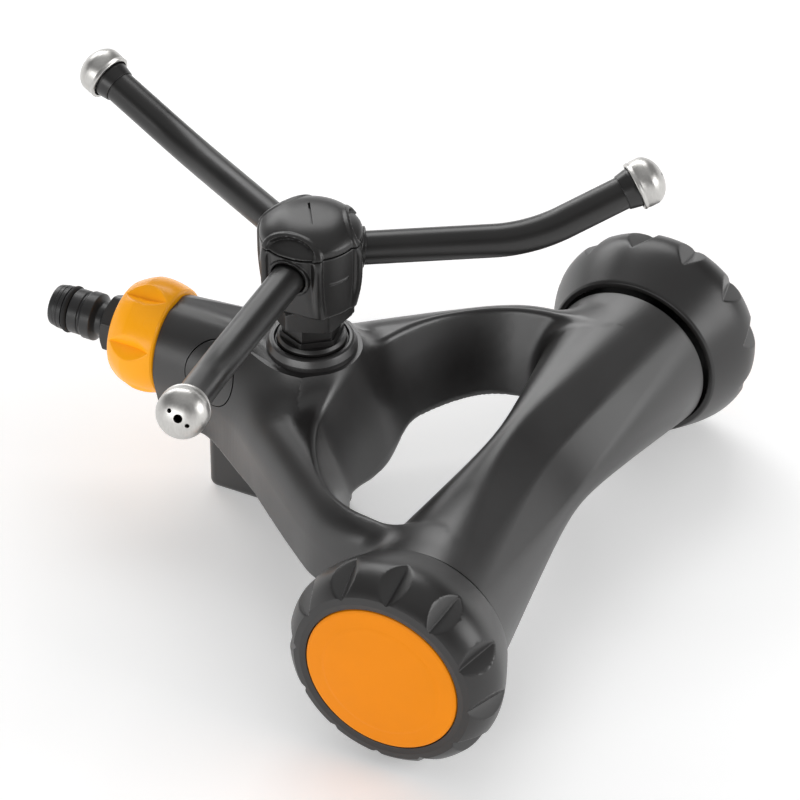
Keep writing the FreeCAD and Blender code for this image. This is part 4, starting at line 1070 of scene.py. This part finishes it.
def make_nozzle(number, azimuth):
    """The collar and the drilled cap at the end of one arm."""
    end, outwards = arm_path(azimuth)[-1]
    tip = end - outwards * ARM_OVERRUN
    level = Vector((math.cos(azimuth), math.sin(azimuth), 0))
    row = level.cross(outwards).normalized()
    place = facing(tip, outwards)
    collar = rounded([(5.8, -4.6), (6.15, -4.6, 0.2), (6.9, -0.9, 0.5), (6.9, 1.6), (5.8, 1.6)])
    turned("arm_collar_%d" % number, collar, place, ROTOR, "rotor",
           ["nozzle_collar_%d" % number])
    cap = turned("jet_cap_%d" % number, cap_outline(), place, CAP_STEEL, "rotor",
                 ["nozzle_cap_%d" % number], segments=120)
    mesh = cap.data
    for aside, radius in JETS:
        start = tip + row * aside + outwards * JET_START
        mesh = carved(mesh, rod_mesh(start, start + outwards * 12, radius, 40), "DIFFERENCE")
    cap.data = mesh
    mesh.set_sharp_from_angle(angle=math.radians(35))


for number, azimuth in enumerate(ARM_AZIMUTHS, start=1):
    make_nozzle(number, azimuth)

# ---------------------------- CAD pieces that stay


def paint_cad_nodes():
    """Give every CAD node the material of its slot."""
    slots = {entry["node"]: entry["material_slot"] for entry in frame["record"]["subparts"]}
    for node, item in frame["nodes"].items():
        material = SLOT_MATERIALS[slots[node]]
        if len(item.data.materials) == 0:
            item.data.materials.append(material)
        for index in range(len(item.data.materials)):
            item.data.materials[index] = material


paint_cad_nodes()

# ---------------------------- floor, light and camera


def make_floor():
    """Plain pale floor, 12 m square."""
    mesh = bpy.data.meshes.new("floor")
    mesh.from_pydata([(-6, -6, 0), (6, -6, 0), (6, 6, 0), (-6, 6, 0)], [], [(0, 1, 2, 3)])
    floor = bpy.data.objects.new("floor", mesh)
    bpy.context.scene.collection.objects.link(floor)
    material, _, shader = shader_tree("pale_floor")
    shader.inputs["Base Color"].default_value = (0.93, 0.93, 0.93, 1)
    shader.inputs["Roughness"].default_value = 0.8
    shader.inputs["Specular IOR Level"].default_value = 0.1
    shader.inputs["Emission Color"].default_value = (1, 1, 1, 1)
    shader.inputs["Emission Strength"].default_value = 0.30
    mesh.materials.append(material)


# Brightness of the surroundings against the height of the direction, from level (0) to overhead (1).
SKY = [(0.0, 1.0), (0.10, 0.90), (0.24, 0.28), (0.68, 0.12), (0.80, 0.38), (1.0, 0.45)]


def make_sky():
    """Grey studio surroundings, brightest at the horizon."""
    world = bpy.data.worlds.new("studio")
    bpy.context.scene.world = world
    world.use_nodes = True
    tree = world.node_tree
    direction = tree.nodes.new("ShaderNodeTexCoord")
    height = tree.nodes.new("ShaderNodeSeparateXYZ")
    tree.links.new(direction.outputs["Generated"], height.inputs["Vector"])
    shades = tree.nodes.new("ShaderNodeValToRGB")
    tree.links.new(height.outputs["Z"], shades.inputs["Fac"])
    while len(shades.color_ramp.elements) < len(SKY):
        shades.color_ramp.elements.new(0.5)
    for element, (position, shade) in zip(shades.color_ramp.elements, SKY):
        element.position = position
        element.color = (shade, shade, shade, 1)
    background = tree.nodes["Background"]
    tree.links.new(shades.outputs["Color"], background.inputs["Color"])
    background.inputs["Strength"].default_value = 1.1


def softbox(name, place, target, size, power):
    """Rectangular lamp at place that faces target, in metres and watts."""
    data = bpy.data.lights.new(name, "AREA")
    data.shape = "RECTANGLE"
    data.size, data.size_y = size
    data.energy = power
    item = bpy.data.objects.new(name, data)
    item.location = place
    item.rotation_mode = "QUATERNION"
    item.rotation_quaternion = (Vector(target) - Vector(place)).to_track_quat("-Z", "Y")
    bpy.context.scene.collection.objects.link(item)


# The camera aims at the point CAMERA_RIGHT and CAMERA_UP of the origin, as it sees them.
CAMERA_AZIMUTH = math.radians(26.9)
CAMERA_ELEVATION = math.radians(37.44)
CAMERA_RIGHT, CAMERA_UP, CAMERA_DISTANCE = 30.0, 36.3, 1685.0
CAMERA_LENS = 216.8


def make_camera():
    """Long-lens camera that looks down on the sprinkler."""
    right = Vector((math.cos(CAMERA_AZIMUTH), math.sin(CAMERA_AZIMUTH), 0))
    level_back = Vector((math.sin(CAMERA_AZIMUTH), -math.cos(CAMERA_AZIMUTH), 0))
    back = level_back * math.cos(CAMERA_ELEVATION) + Vector((0, 0, math.sin(CAMERA_ELEVATION)))
    up = back.cross(right)
    place = (right * CAMERA_RIGHT + up * CAMERA_UP + back * CAMERA_DISTANCE) * MM
    data = bpy.data.cameras.new("camera")
    data.sensor_width = 36.0
    data.lens = CAMERA_LENS
    data.clip_start, data.clip_end = 0.05, 50
    camera = bpy.data.objects.new("camera", data)
    camera.matrix_world = Matrix.Translation(place) @ Matrix((right, up, back)).transposed().to_4x4()
    bpy.context.scene.collection.objects.link(camera)
    bpy.context.scene.camera = camera


make_floor()
make_sky()
softbox("overhead", (-0.55, 1.05, 1.25), (0, 0, 0.05), (1.1, 0.9), 10)
softbox("left", (-1.4, 0.95, 0.85), (0, 0, 0.05), (0.9, 0.7), 7)
softbox("right", (1.7, 0.3, 0.75), (0.05, 0, 0.05), (1.2, 0.8), 12)
softbox("camera_side", (-0.2, -1.7, 0.5), (0, 0, 0.05), (1.6, 0.5), 9)
make_camera()
bpy.context.scene.view_settings.view_transform = "Standard"
